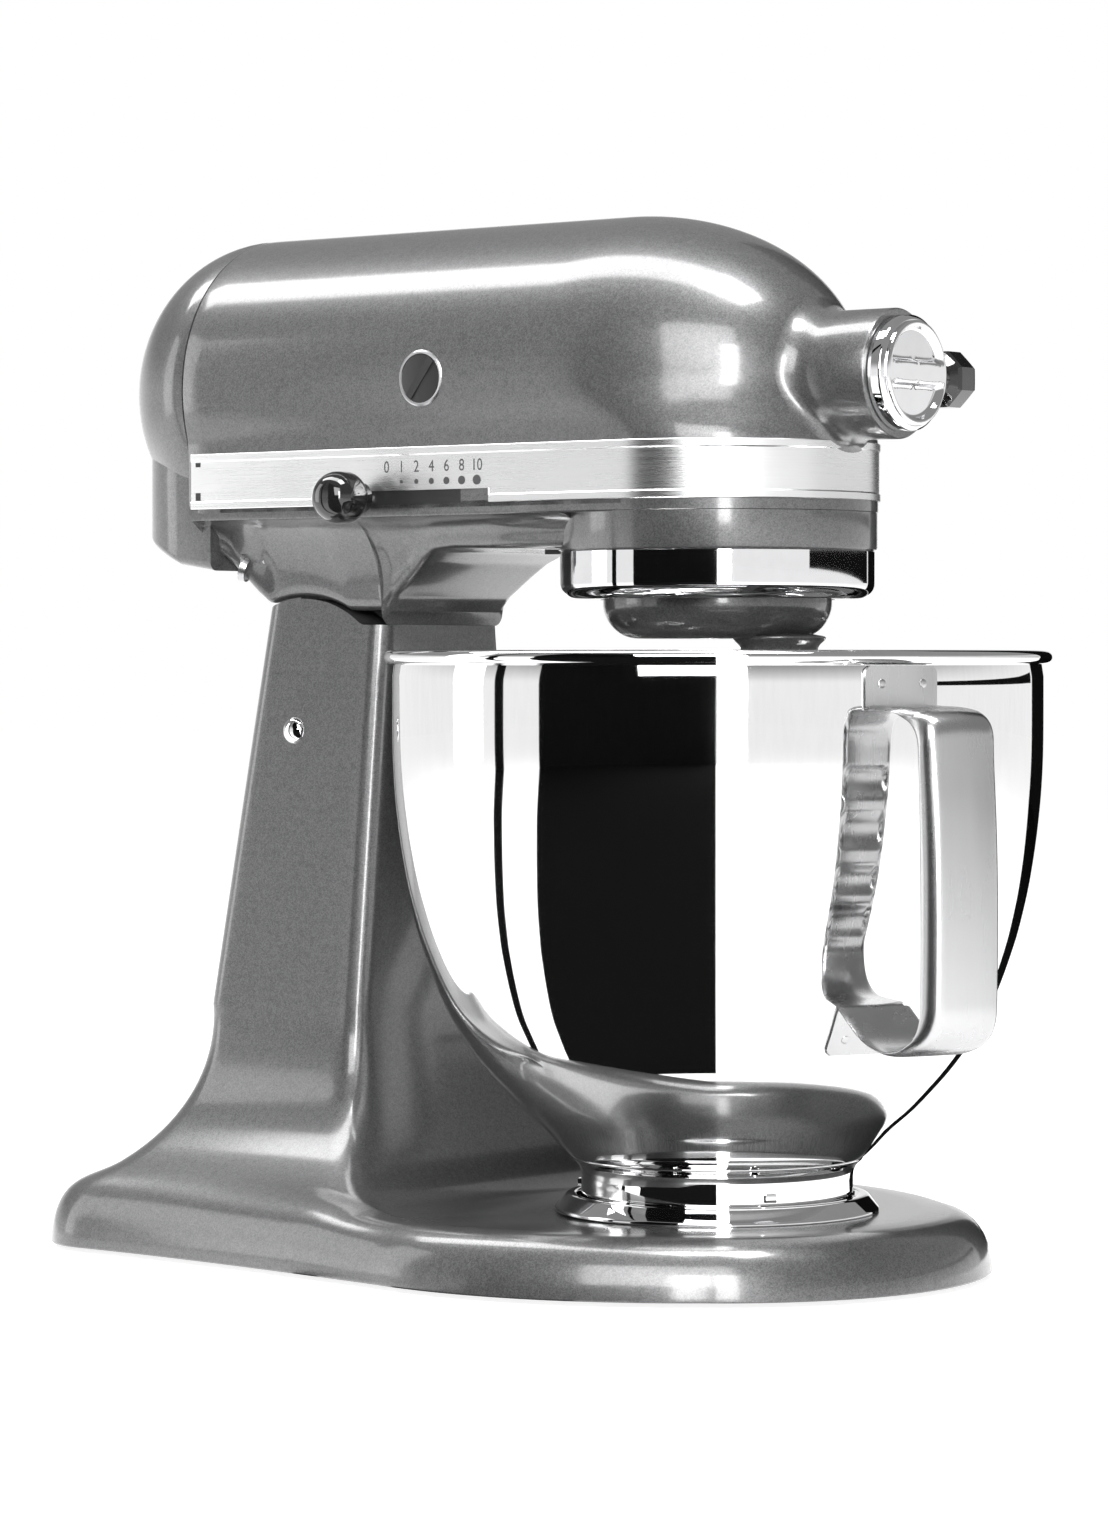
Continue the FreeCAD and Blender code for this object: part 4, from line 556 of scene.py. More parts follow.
def makeRearCover():
    cover = {"reach": 49.0, "skirtHalf": 46.0, "corner": 28.0, "skirtTop": 281.0, "rearFloor": 247.5,
             "seamFloor": 236.8, "edge": 3.0, "gap": 0.5}
    rings = []
    for k in range(29):
        turn = math.pi / 2 * k / 28
        radius = head["radius"] * math.cos(turn)
        x = seamX - cover["gap"] - cover["reach"] * math.sin(turn) + (cover["gap"] if k == 28 else 0)
        count = 112
        edge = 0.5 if k == 0 else 0.0
        rings.append([Vector((x, (radius - edge) * math.cos(a),
                              head["axisZ"] + (radius - edge) * math.sin(a)))
                      for a in (2 * math.pi * j / count for j in range(count))])
    dome = skin(rings)

    rearX = coverLow.x + 10.7
    front = seamX + 5.0
    half, corner = cover["skirtHalf"], cover["corner"]
    plan = [(front, -half)]
    for k in range(17):
        turn = math.pi / 2 * k / 16
        plan.append((rearX + corner - corner * math.sin(turn), -(half - corner + corner * math.cos(turn))))
    plan += [(x, -y) for x, y in reversed(plan)]

    def floorAt(x):
        return lerp(cover["seamFloor"], cover["rearFloor"], smooth((seamX - x) / (seamX - rearX)) ** 0.9)

    def ring(inset, lift, top=None):
        points = []
        for x, y in plan:
            straight = abs(y) > half - corner and x > rearX + corner
            away = Vector((x - (rearX + corner), 0.0 if straight else y, 0))
            normal = Vector((min(x - (rearX + corner), 0.0),
                             math.copysign(max(abs(y) - (half - corner), 0.0), y), 0))
            normal = normal.normalized() if normal.length > 0 else away.normalized()
            spot = Vector((x, y, 0)) - normal * inset
            spot.z = top if top is not None else floorAt(x) + lift
            points.append(spot)
        return points
    edge = cover["edge"]
    skirt = [ring(edge, 0)]
    for k in range(1, 7):
        turn = math.pi / 2 * k / 6
        skirt.append(ring(edge * (1 - math.sin(turn)), edge * (1 - math.cos(turn))))
    skirt.append(ring(0, 0, head["axisZ"] - 31))
    skirt.append(ring(0, 0, cover["skirtTop"]))
    makePiece("rearCover", [dome, skin(skirt)], paint, "head", ["rear_cover"], sharp=40)


makeRearCover()
print("rear cover made")

# lower casing with the neck


def makeLowerCasing():
    neck = {"gap": 0.7, "arc": 46.0, "shelf": pedestalShelf, "flare": 254.0, "corner": 4.5}
    floorLine = [(seamX, 254.0), (seamX + 2, 246.0), (seamX + 9, 237.0), (seamX + 17, 228.5),
                 (seamX + 24, 222.5)]
    frontCurve = [(pedestalFront - 0.5, 217.0), (pedestalFront + 0.5, 222.0), (pedestalFront + 4, 226.6),
                  (pedestalFront + 12.7, 233.6), (pedestalFront + 19.2, 238.8), (pedestalFront + 25.7, 242.6),
                  (pedestalFront + 36, 243.4), (-40.0, 242.4)]
    halfLine = [(seamX, 50.0), (seamX + 2, 43.5), (seamX + 9, 38.0), (seamX + 24, 33.6),
                (pedestalFront, 33.3), (pedestalFront + 4, 33.6), (pedestalFront + 13, 35.0),
                (pedestalFront + 26, 38.5), (-60.0, 42.5), (-20.0, 43.0)]

    def floorAt(x):
        if x > pedestalFront - 0.6:
            return between(x, frontCurve)
        reach = neck["arc"] + neck["gap"]
        away = x - hingeX
        arc = hingeZ + math.sqrt(max(reach * reach - away * away, 0.0)) if abs(away) < reach else 0.0
        level = neck["shelf"] + neck["gap"]
        low = arc if x < hingeX + 27.0 else level
        return max(low, between(x, floorLine), level if x > hingeX else 0.0)
    stations = [seamX + 0.05 + k * 0.5 for k in range(4)] + [seamX + 2.5 + k * 1.2 for k in range(18)]
    stations += [seamX + 24.5 + k * 1.6 for k in range(30) if seamX + 24.5 + k * 1.6 < pedestalFront - 1]
    stations += [pedestalFront - 0.6, pedestalFront - 0.4, pedestalFront, pedestalFront + 0.5]
    stations += [pedestalFront + 1.0 + k * 1.1 for k in range(24)]
    stations += [pedestalFront + 28 + k * 4.0 for k in range(17)]
    rings = []
    for x in stations:
        floor = floorAt(x)
        half = between(x, halfLine)
        wide = sideHalf(x) - 0.4
        top = neck["flare"]
        rise = max(top - floor, 0.5)
        corner = min(neck["corner"], rise * 0.3)
        side = []
        for k in range(6):
            turn = math.pi / 2 * k / 5
            side.append((half - corner + corner * math.sin(turn), floor + corner * (1 - math.cos(turn))))
        for k in range(1, 19):
            turn = math.pi / 2 * k / 18
            t = math.sin(turn)
            side.append((half + (wide - half) * (1 - math.sqrt(max(1 - t * t, 0.0))),
                         floor + corner + (rise - corner) * t))
        side.append((wide, top + 1.0))
        ring = [Vector((x, y, z)) for y, z in side] + [Vector((x, -y, z)) for y, z in reversed(side)]
        rings.append(ring)
    arm = skin(rings)

    lipPath = [(seamX + 0.4, -sideHalf(seamX))] + [(lerp(seamX, 0, k / 12), -sideHalf(lerp(seamX, 0, k / 12)))
                                                  for k in range(1, 12)]
    lipPath += [(head["noseHalf"] * math.cos(a), head["noseHalf"] * math.sin(a))
                for a in (-math.pi / 2 + math.pi * k / 64 for k in range(65))]
    lipPath += [(x, -y) for x, y in reversed(lipPath[:12])]
    lip = extruded(lipPath, head["lipLow"], bandLow.z + 1.0, edge=0.5)
    hollow = {"radius": 50.6, "low": 225.0, "high": 254.6}
    outer = head["noseHalf"]
    chin = lathe([(hollow["radius"], head["chinLow"]), (outer - 1.2, head["chinLow"]),
                  (outer - 0.5, head["chinLow"] + 0.25), (outer - 0.25, head["chinLow"] + 1.0),
                  (outer - 0.25, head["lipLow"] + 1), (hollow["radius"], head["lipLow"] + 1)], segments=128,
                 closed=True)
    lug = {"half": 17.0, "radius": 14.0, "edge": 0.6, "rise": 52.0}
    half, radius, edge = lug["half"], lug["radius"], lug["edge"]
    eye = lathe([(0, -half), (radius - edge, -half), (radius, edge - half), (radius, half - edge),
                 (radius - edge, half), (0, half)], at=(hingeX, 0, hingeZ), along="Y")
    post = slab((hingeX - radius, -half, hingeZ), (hingeX + radius, half, hingeZ + lug["rise"]))
    neckArm = makePiece("casingNeck", [arm], paint, "head", sharp=38)
    cutAway(neckArm, [lathe([(0, hollow["low"]), (hollow["radius"], hollow["low"]),
                             (hollow["radius"], hollow["high"]), (0, hollow["high"])], segments=128)])
    makePiece("lowerCasing", [lip, chin, post, eye], paint, "head", ["lower_gearcase"],
              sharp=38)

    window = {"place": (-73, 10, 243.1), "squeeze": 0.55}
    dimple = {"x": -179.2, "y": 35.6, "z": 237.6, "lean": -70, "splay": 18}
    recess = lathe([(0, -0.25), (5.2, -0.25), (5.6, 0.1), (0, 0.3)], at=window["place"], segments=48)
    verts = [Vector((v.x, lerp(window["place"][1], v.y, window["squeeze"]), v.z)) for v in recess[0]]
    dimples = []
    for side in (-1, 1):
        tilt = Matrix.Translation((dimple["x"], side * dimple["y"], dimple["z"]))
        tilt = tilt @ Matrix.Rotation(math.radians(dimple["lean"]), 4, "Y")
        tilt = tilt @ Matrix.Rotation(math.radians(-side * dimple["splay"]), 4, "X")
        dimples.append(moved(lathe([(0, -2), (4.3, -2), (4.9, 0.15), (3.4, 0.35), (2.9, -0.4), (0, -0.5)],
                                   segments=40), tilt))
    makePiece("casingRecesses", [(verts, recess[1])] + dimples, screwSteel, "head")


makeLowerCasing()
print("lower casing made")

# trim band, dial marks


# stations round the head at the band: place and outward direction
def bandPath():
    slot = {"rear": -116.0, "front": -55.0}
    xs = [seamX + 2] + [lerp(seamX + 2, 0, k / 40) for k in range(1, 40)]
    xs += [slot["rear"] - 0.01, slot["rear"] + 0.01, slot["front"] - 0.01, slot["front"] + 0.01]
    stations = []
    for x in sorted(xs):
        stations.append((Vector((x, -sideHalf(x), 0)), Vector((0, -1, 0)), slot["rear"] < x < slot["front"]))
    for k in range(81):
        turn = -math.pi / 2 + math.pi * k / 80
        out = Vector((math.cos(turn), math.sin(turn), 0))
        stations.append((out * head["noseHalf"], out, False))
    for x in sorted(xs, reverse=True):
        stations.append((Vector((x, sideHalf(x), 0)), Vector((0, 1, 0)), False))
    return stations


def makeTrimBand():
    band = {"proud": 0.7, "recess": 0.32, "rim": 2.6, "slotTop": 4.5}
    low, high = bandLow.z - 0.1, bandHigh.z + 0.1
    profile = [(-0.6, low), (band["proud"] - 0.25, low), (band["proud"], low + 0.25),
               (band["proud"], low + band["rim"] - 0.25), (band["recess"], low + band["rim"] + 0.2),
               (band["recess"], high - band["rim"] - 0.2), (band["proud"], high - band["rim"] + 0.25),
               (band["proud"], high - 0.25), (band["proud"] - 0.25, high), (-0.6, high)]
    rings = []
    for place, out, inSlot in bandPath():
        floor = bandLow.z + band["slotTop"] if inSlot else 0.0
        rings.append([place + out * away + Vector((0, 0, max(z, floor))) for away, z in profile])
    strip = skin(rings)
    makePiece("trimBand", [strip], brushedTrim, "head", ["trim_band"], sharp=20)

    # painted shade: black plates stand for the dark inside the lever slot and inside the band's end notches
    slotX = (-116.4, -54.6)
    slotShadePlate = slab((slotX[0], -sideHalf(-85) - 0.12, bandLow.z - 0.05),
                   (slotX[1], -sideHalf(-85) + 2, bandLow.z + 5.2))
    notchY = -sideHalf(seamX + 6) - band["recess"] - 0.12
    notchShadePlates = [slab((seamX + 4.2, notchY, z0), (seamX + 6.4, notchY + 1.5, z1))
               for z0, z1 in ((bandLow.z + 2.9, bandLow.z + 5.6), (bandHigh.z - 4.4, bandHigh.z - 2.9))]
    makePiece("bandSlotShade", [slotShadePlate] + notchShadePlates, blackSatin, "head")


def makeDial():
    dial = {"first": -99.5, "step": 6.56, "textZ": 270.4, "dotZ": 265.5, "height": 5.6, "thick": 0.05,
            "dot": 0.45, "dotGrowth": 0.44}
    marks = ["0", "1", "2", "4", "6", "8", "10"]
    shells, dots, growth = [], [], []
    for index, mark in enumerate(marks):
        x = dial["first"] + dial["step"] * index
        surface = -sideHalf(x) - 0.32
        curve = bpy.data.curves.new("mark", "FONT")
        curve.body = mark
        curve.size = dial["height"]
        curve.align_x = "CENTER"
        curve.align_y = "CENTER"
        curve.extrude = dial["thick"]
        holder = bpy.data.objects.new("mark", curve)
        bpy.context.scene.collection.objects.link(holder)
        bpy.context.view_layer.update()
        flat = bpy.data.meshes.new_from_object(holder)
        upright = Matrix.Translation((x, surface, dial["textZ"])) @ Matrix.Rotation(math.pi / 2, 4, "X")
        upright = upright @ Matrix.Diagonal((0.86, 1.0, 1.0, 1.0))
        shells.append(([upright @ v.co for v in flat.vertices], [tuple(p.vertices) for p in flat.polygons]))
        bpy.data.objects.remove(holder)
        bpy.data.curves.remove(curve)
        bpy.data.meshes.remove(flat)
        if index > 0:
            dots.append(Vector((x, surface, dial["dotZ"])) * mm)
            growth.append(1.0 + dial["dotGrowth"] * index)
    makePiece("dialMarks", shells, dialInk, "head")
    tree, given, result = newShapeTree("dialDots", [("Radius", dial["dot"] * mm), ("Thickness", 0.1 * mm)])
    disc = addNode(tree, "GeometryNodeMeshCylinder", {"Vertices": 32})
    wire(tree, (given, "Radius", disc, "Radius"), (given, "Thickness", disc, "Depth"))
    scatterOnPoints(tree, given, result, disc, dialInk)
    makeScattered("dialDots", tree, dots, [(0, -1, 0)] * len(dots),
                  {"Radius": dial["dot"] * mm, "Thickness": 0.1 * mm}, "head", growth)


makeTrimBand()
makeDial()
print("band and dial made")

# speed lever


def makeSpeedLever():
    lever = {"pivotX": -87.0, "pivotY": -2.0, "low": 259.2, "high": 261.2, "reach": 50.3, "knobX": -108.0}
    points = []
    for degrees in range(246, 306, 4):
        turn = math.radians(degrees)
        points.append((lever["pivotX"] + lever["reach"] * math.cos(turn),
                       lever["pivotY"] + lever["reach"] * math.sin(turn)))
    for degrees in range(306, 600, 14):
        turn = math.radians(degrees)
        points.append((lever["pivotX"] + 7 * math.cos(turn), lever["pivotY"] + 7 * math.sin(turn)))
    blade = extruded(points, lever["low"], lever["high"], edge=0.2)
    knobLow, knobHigh = spanOf("speed_knob")
    arm = slab((lever["knobX"] - 2.4, knobHigh.y - 0.2, lever["low"] + 0.1),
               (lever["knobX"] + 2.4, -40, lever["high"] - 0.1))
    makePiece("leverBlade", [blade, arm], chrome, "speed_lever", ["speed_lever"], sharp=30)
    radius = (knobHigh.z - knobLow.z) / 2
    length = knobHigh.y - knobLow.y
    profile = softened([(0, 0), (5.4, 0, 0.4), (5.9, 4.6, 0.4), (radius - 1.3, 4.9, 0.5), (radius, 7.2, 1.6),
                        (radius, length - 5.2, 3.0), (radius - 3.4, length - 0.6, 3.0), (0, length)], 0.5,
                       closed=False)
    knob = lathe(profile, at=(lever["knobX"], knobHigh.y, (lever["low"] + lever["high"]) / 2), along="-Y",
                 segments=72)
    makePiece("leverKnob", [knob], blackGloss, "speed_lever", ["speed_knob"])


makeSpeedLever()
print("speed lever made")

# base and pedestal

stand = {"front": pedestalFront, "depth": 70.5, "half": 46.3, "topDepth": 55.5, "topHalf": 33.2,
         "corner": 7.0, "shelf": pedestalShelf, "arc": 46.0, "flareTop": 85.0, "flareDrop": 66.0,
         "flareReach": 70.0, "frontShare": 0.72, "rearShare": 0.7, "cornerGrowth": 9.0, "plate": 21.5,
         "floor": 2.4, "rollWide": 14.0, "rollHigh": 19.1, "sideRollHigh": 22.0, "straightEnd": 150.0,
         "sideLow": 31.0, "underside": 7.0, "wall": 4.5, "pull": 0.36}


# the near half of the base's outline in order from the rear middle along the near side to the nose; matched
# to the pedestal
def footprint(inset):
    base = {"half": 107.5, "shoulder": -48.7, "arcStart": -62.0, "tailHalf": 92.1, "corner": 26.0,
            "noseX": 49.8, "noseY": 77.7, "sideArc": 129.0, "noseArc": 92.8}
    half, shoulder, arcStart = base["half"] - inset, base["shoulder"], base["arcStart"]
    tailHalf, tailX, corner = base["tailHalf"] - inset, baseLow.x + inset, base["corner"] - inset
    noseX, noseY = base["noseX"] - 0.55 * inset, base["noseY"] - 0.84 * inset
    sections = {"rear": [], "rearCorner": [], "side": [], "frontCorner": [], "front": []}
    for k in range(12):
        sections["rear"].append((tailX, -(tailHalf - corner) * k / 12))
    for k in range(14):
        turn = math.pi / 2 * k / 14
        sections["rearCorner"].append((tailX + corner - corner * math.cos(turn),
                                       -(tailHalf - corner) - corner * math.sin(turn)))
    startX, sideEnd = tailX + corner, stand["front"] + 12

    def sideAt(x):
        return x, -lerp(tailHalf, half, smooth((x - startX) / (shoulder - startX) * 0.5) * 2)
    sections["side"] = [sideAt(lerp(startX, sideEnd, k / 22)) for k in range(22)]
    sections["frontCorner"] = [sideAt(lerp(sideEnd, arcStart, k / 16)) for k in range(16)]
    arc = arcPoints(sideAt(arcStart), (noseX, -noseY), base["sideArc"] - inset, 22)
    tip = arcPoints((noseX, -noseY), (noseX, noseY), base["noseArc"] - inset, 44)[:23]
    sections["front"] = arc[:-1] + tip
    return sections


# points on an arc that turns left from start to end, both ends included
def arcPoints(start, end, radius, count):
    a, b = Vector(start), Vector(end)
    chord = b - a
    rise = math.sqrt(max(radius * radius - (chord.length / 2) ** 2, 0))
    centre = (a + b) / 2 + Vector((-chord.y, chord.x)).normalized() * rise
    first = math.atan2(a.y - centre.y, a.x - centre.x)
    last = math.atan2(b.y - centre.y, b.x - centre.x)
    if last < first:
        last += 2 * math.pi
    return [(centre.x + radius * math.cos(lerp(first, last, k / count)),
             centre.y + radius * math.sin(lerp(first, last, k / count)))
            for k in range(count + 1)]


# one level of the pedestal in the same order and count as the footprint, near half only
def column(front, rear, frontHalf, rearHalf, corner):
    sections = {"rear": [], "rearCorner": [], "side": [], "frontCorner": [], "front": []}
    for k in range(12):
        sections["rear"].append((rear, -(rearHalf - corner) * k / 12))
    for k in range(14):
        turn = math.pi / 2 * k / 14
        sections["rearCorner"].append((rear + corner - corner * math.cos(turn),
                                       -(rearHalf - corner) - corner * math.sin(turn)))
    for k in range(22):
        t = k / 22
        sections["side"].append((lerp(rear + corner, front - corner, t), -lerp(rearHalf, frontHalf, t)))
    for k in range(16):
        turn = math.pi / 2 * k / 16
        sections["frontCorner"].append((front - corner + corner * math.sin(turn),
                                        -(frontHalf - corner) - corner * math.cos(turn)))
    count = 44
    for k in range(count + 1):
        sections["front"].append((front, -(frontHalf - corner) * (1 - k / count)))
    return sections


def flat(sections):
    return [Vector((p[0], p[1], 0)) for key in ("rear", "rearCorner", "side", "frontCorner", "front")
            for p in sections[key]]


# how far each column of points belongs to the front plate rather than the rolled sides
def frontness():
    values = [0.0] * (12 + 14) + [0.0] * 22
    values += [smooth(k / 16) for k in range(16)] + [1.0] * 45
    return values


# the pedestal's section at a height; full says whether the front flare uses its own drop
def pedestalAt(z, full):
    taper = (stand["shelf"] - z) / (stand["shelf"] - stand["flareTop"])
    if z >= stand["flareTop"]:
        half = lerp(stand["topHalf"], stand["half"], taper)
        depth = lerp(stand["topDepth"], stand["depth"], taper)
        return column(stand["front"], stand["front"] - depth, half, half, stand["corner"])
    drop = (stand["flareTop"] - z)
    side = 1 - math.sqrt(max(1 - (drop / stand["flareDrop"]) ** 2, 0.0))
    ahead = 1 - math.sqrt(max(1 - min(drop / (stand["flareTop"] - stand["plate"]), 1.0) ** 2,
                              0.0)) if full else side
    spread = stand["flareReach"]
    share = drop / stand["flareDrop"]
    return column(stand["front"] + spread * ahead * stand["frontShare"],
                  stand["front"] - stand["depth"] - spread * side * stand["rearShare"],
                  stand["half"] + spread * side + 2 * share, stand["half"] + spread * side - 2 * share,
                  stand["corner"] + stand["cornerGrowth"] * share)


def topAt(x):
    away = x - hingeX
    arc = hingeZ + math.sqrt(max(stand["arc"] ** 2 - away * away, 0.0))
    return arc if x < hingeX + 27.2 else stand["shelf"]


def makeStand():
    weight = frontness()
    rings = []
    topSection = flat(pedestalAt(stand["shelf"], False))
    tops = [topAt(p.x) for p in topSection]
    for k in range(16):
        t = (k / 15) ** 1.15
        ring = []
        for i, p in enumerate(topSection):
            z = lerp(tops[i], stand["straightEnd"], t)
            level = flat(pedestalAt(min(z, 240.0), False))[i]
            ring.append(Vector((level.x, level.y, z)))
        rings.append(ring)
    for z in [stand["straightEnd"] - 6.5 * k for k in range(1, 11)]:
        rings.append([Vector((p.x, p.y, z)) for p in flat(pedestalAt(z, False))])
    sideLow, frontLow = stand["sideLow"], stand["plate"]
    for k in range(1, 23):
        t = k / 22
        sideZ = lerp(stand["flareTop"], sideLow, t)
        turn = math.pi / 2 * t
        frontZ = stand["flareTop"] - (stand["flareTop"] - frontLow) * math.sin(turn)
        sideRing, frontRing = flat(pedestalAt(sideZ, False)), flat(pedestalAt(frontZ + 1e-4, True))
        rings.append([Vector((s.x, s.y, sideZ)).lerp(Vector((f.x, f.y, frontZ)), w)
                      for s, f, w in zip(sideRing, frontRing, weight)])
    last, before = rings[-1], rings[-2]
    outer = flat(footprint(0.0))
    crest = flat(footprint(stand["rollWide"]))

    def roll(i, turn):
        high = lerp(stand["sideRollHigh"], stand["rollHigh"], weight[i])
        spot = outer[i].lerp(crest[i], 1 - math.cos(turn))
        return Vector((spot.x, spot.y, stand["floor"] + high * math.sin(turn)))
    startTurn = [lerp(math.radians(44), math.radians(90), w) for w in weight]
    steps = 14
    for k in range(1, steps + 1):
        t = k / steps
        ring = []
        for i in range(len(last)):
            a = last[i]
            b = roll(i, startTurn[i])
            reach = (b - a).length
            leave = (last[i] - before[i]).normalized()
            enter = (roll(i, startTurn[i] - 0.02) - b).normalized()
            c1 = a + leave * reach * stand["pull"]
            c2 = b - enter * reach * stand["pull"]
            ring.append(a * (1 - t) ** 3 + c1 * 3 * t * (1 - t) ** 2 + c2 * 3 * t * t * (1 - t) + b * t ** 3)
        rings.append(ring)
    for k in range(1, 11):
        rings.append([roll(i, lerp(startTurn[i], 0.0, k / 10)) for i in range(len(last))])
    bottom = stand["floor"] - 0.5
    rings.append([Vector((p.x, p.y, bottom)).lerp(Vector((c.x, c.y, bottom)), 0.03)
                  for p, c in zip(outer, crest)])
    inner = flat(footprint(stand["wall"]))
    rings += [[Vector((p.x, p.y, z)) for p in inner] for z in (bottom, stand["underside"])]

    def whole(ring):
        far = [Vector((p.x, -p.y, p.z)) for p in reversed(ring[1:-1])]
        return ring + far
    full = [whole(r) for r in rings]
    verts, faces = skin(full, caps=(False, True))
    # the top: strips across from the near edge to the far edge
    ring = full[0]
    count = len(ring)
    for i in range(1, count // 2 - 1):
        faces.append((i, i + 1, count - i - 1, count - i))
    faces.append((0, 1, count - 1))
    faces.append((count // 2 - 1, count // 2, count // 2 + 1))
    body = makePiece("standCasting", [(verts, faces)], paint, "stand", ["base_casting"],
                     sharp=38)
    cutTongueSlot(body)
    bosses = [lathe([(0, 6.5), (12, 6.5), (12, 3.0), (11.4, 2.5), (0, 2.5)], at=(x, y, 0), segments=40)
              for x, y in ((0, 0), (35.8, -59.7), (35.8, 59.7), (-208.3, -66.1), (-208.3, 66.1))]
    makePiece("footBosses", bosses, paint, "stand")


def cutTongueSlot(body):
    half = 17.6
    cutAway(body, [slab((hingeX - 15, -half, hingeZ - 20), (stand["front"] - 6, half, hingeZ + 80)),
                   slab((hingeX - 60, -half, hingeZ - 9), (hingeX - 10, half, hingeZ + 80))])


makeStand()
print("base and pedestal made")


def makeHingePin():
    half = (pinHigh.y - pinLow.y) / 2
    dome = [(0, half + 0.5), (2.2, half + 0.2), (3.9, half - 0.7), (4.8, half - 2.0), (5.0, half - 3.4)]
    profile = dome + [(5.0, -(half - 3.4))] + [(r, -z) for r, z in reversed(dome[:-1])]
    pin = lathe(softened(profile, 0.6, closed=False), at=(hingeX, 0, hingeZ), along="Y", segments=64)
    makePiece("hingePin", [pin], chrome, "stand", ["hinge_pin"])


def makeClampPlate():
    low, high, outer = plateLow.z, plateHigh.z, plateHigh.x
    profile = softened([(16, low), (outer, low, 0.3), (outer, low + 1.1, 0.6), (outer - 3.9, high, 0.9),
                        (47.2, high, 0.7), (46.9, low + 2.0, 0.4), (16, low + 2.0, 0.3)], 0.3)
    shells = [lathe(profile, segments=144, closed=True)]
    for turn in (35, 155, 275):
        lug = extruded([(45.95, -9), (47.6, -9), (47.6, 9), (46.2, 9)], high - 1.5, high - 0.1, edge=0.15)
        shells.append(moved(lug, Matrix.Rotation(math.radians(turn), 4, "Z")))
    makePiece("clampRing", shells, chrome, "stand", ["clamp_plate"], sharp=35)


makeHingePin()
makeClampPlate()
print("pin and clamp plate made")

# bowl


# outer radius of the bowl at a height, from its two long arcs
def wallRadius(z):
    table = [(37.6, 46.4), (42.0, 51.5), (49.0, 58.1), (55.5, 65.6), (62.0, 71.8), (68.7, 77.7),
             (75.5, 82.8), (82.0, 86.9),
             (88.5, 90.5), (95.0, 93.4), (102.0, 96.1), (108.7, 98.4), (115.5, 100.5), (129.0, 103.7),
             (142.0, 105.9), (155.5, 107.5), (166.0, 108.3), (178.0, 108.7), (210.0, 108.7)]
    below = max(i for i in range(len(table)) if table[i][0] <= z + 1e-9)
    i = min(below, len(table) - 2)
    p0, p1, p2 = table[max(i - 1, 0)], table[i], table[i + 1]
    p3 = table[min(i + 2, len(table) - 1)]
    t = (z - p1[0]) / (p2[0] - p1[0])
    m1 = (p2[1] - p0[1]) / max(p2[0] - p0[0], 1e-6) * (p2[0] - p1[0])
    m2 = (p3[1] - p1[1]) / max(p3[0] - p1[0], 1e-6) * (p2[0] - p1[0])
    return ((2 * t ** 3 - 3 * t * t + 1) * p1[1] + (t ** 3 - 2 * t * t + t) * m1
            + (-2 * t ** 3 + 3 * t * t) * p2[1] + (t ** 3 - t * t) * m2)


def makeBowl():
    bowl = {"wall": 1.2, "bead": 2.25, "rim": bowlHigh.x, "floor": 35.0}
    heights = [lerp(38.2, 200.0, k / 54) for k in range(55)]
    outer = [(wallRadius(z), z) for z in heights]
    top = bowlHigh.z
    beadR, beadZ = bowl["rim"] - bowl["bead"], top - bowl["bead"]
    bead = [(beadR - 0.4 + bowl["bead"] * math.cos(a), beadZ + bowl["bead"] * math.sin(a))
            for a in (math.radians(d) for d in range(-125, 126, 14))]
    inner = [(wallRadius(z) - bowl["wall"] - 0.4 * (1 - smooth((z - 38) / 60)),
              z + 0.6) for z in reversed(heights)]
    floorStart = [(0, 33.6), (42.0, 33.6), (44.6, 35.0), (45.6, 37.0)]
    innerFloor = [(43.5, 37.4), (40.0, 35.6), (34.0, bowl["floor"]), (0, bowl["floor"])]
    profile = floorStart + outer + bead + inner + innerFloor
    shell = lathe(profile, segments=192)
    makePiece("bowlShell", [shell], mirrorSteel, "bowl", ["bowl_shell"], sharp=50)

    foot = [(44.2, footLow.z), (45.3, footLow.z), (45.5, footLow.z + 0.3), (45.5, 33.0), (45.7, 35.0),
            (46.3, 36.6),
            (47.4, 37.9), (48.6, 38.9), (48.9, 39.5), (48.2, 39.9), (46.8, 39.4), (45.2, 38.2), (44.4, 36.6),
            (44.2, 33.0)]
    shells = [lathe(softened(foot, 0.4, steps=3), segments=160, closed=True)]
    for turn in (35, 155, 275):
        tab = extruded([(45.0, -7), (46.5, -7), (46.5, 7), (45.0, 7)], footLow.z + 0.3, footLow.z + 1.7,
                       edge=0.12)
        shells.append(moved(tab, Matrix.Rotation(math.radians(turn), 4, "Z")))
    for turn in (-32.0, 88.0, 208.0):
        stop = extruded([(45.0, -1.9), (47.0, -1.9), (47.0, 1.9), (45.0, 1.9)], 28.4, 31.2, edge=0.2)
        shells.append(moved(stop, Matrix.Rotation(math.radians(turn), 4, "Z")))
    makePiece("bowlFoot", shells, mirrorSteel, "bowl", ["bowl_foot"], sharp=35)


makeBowl()
print("bowl made")

# handle


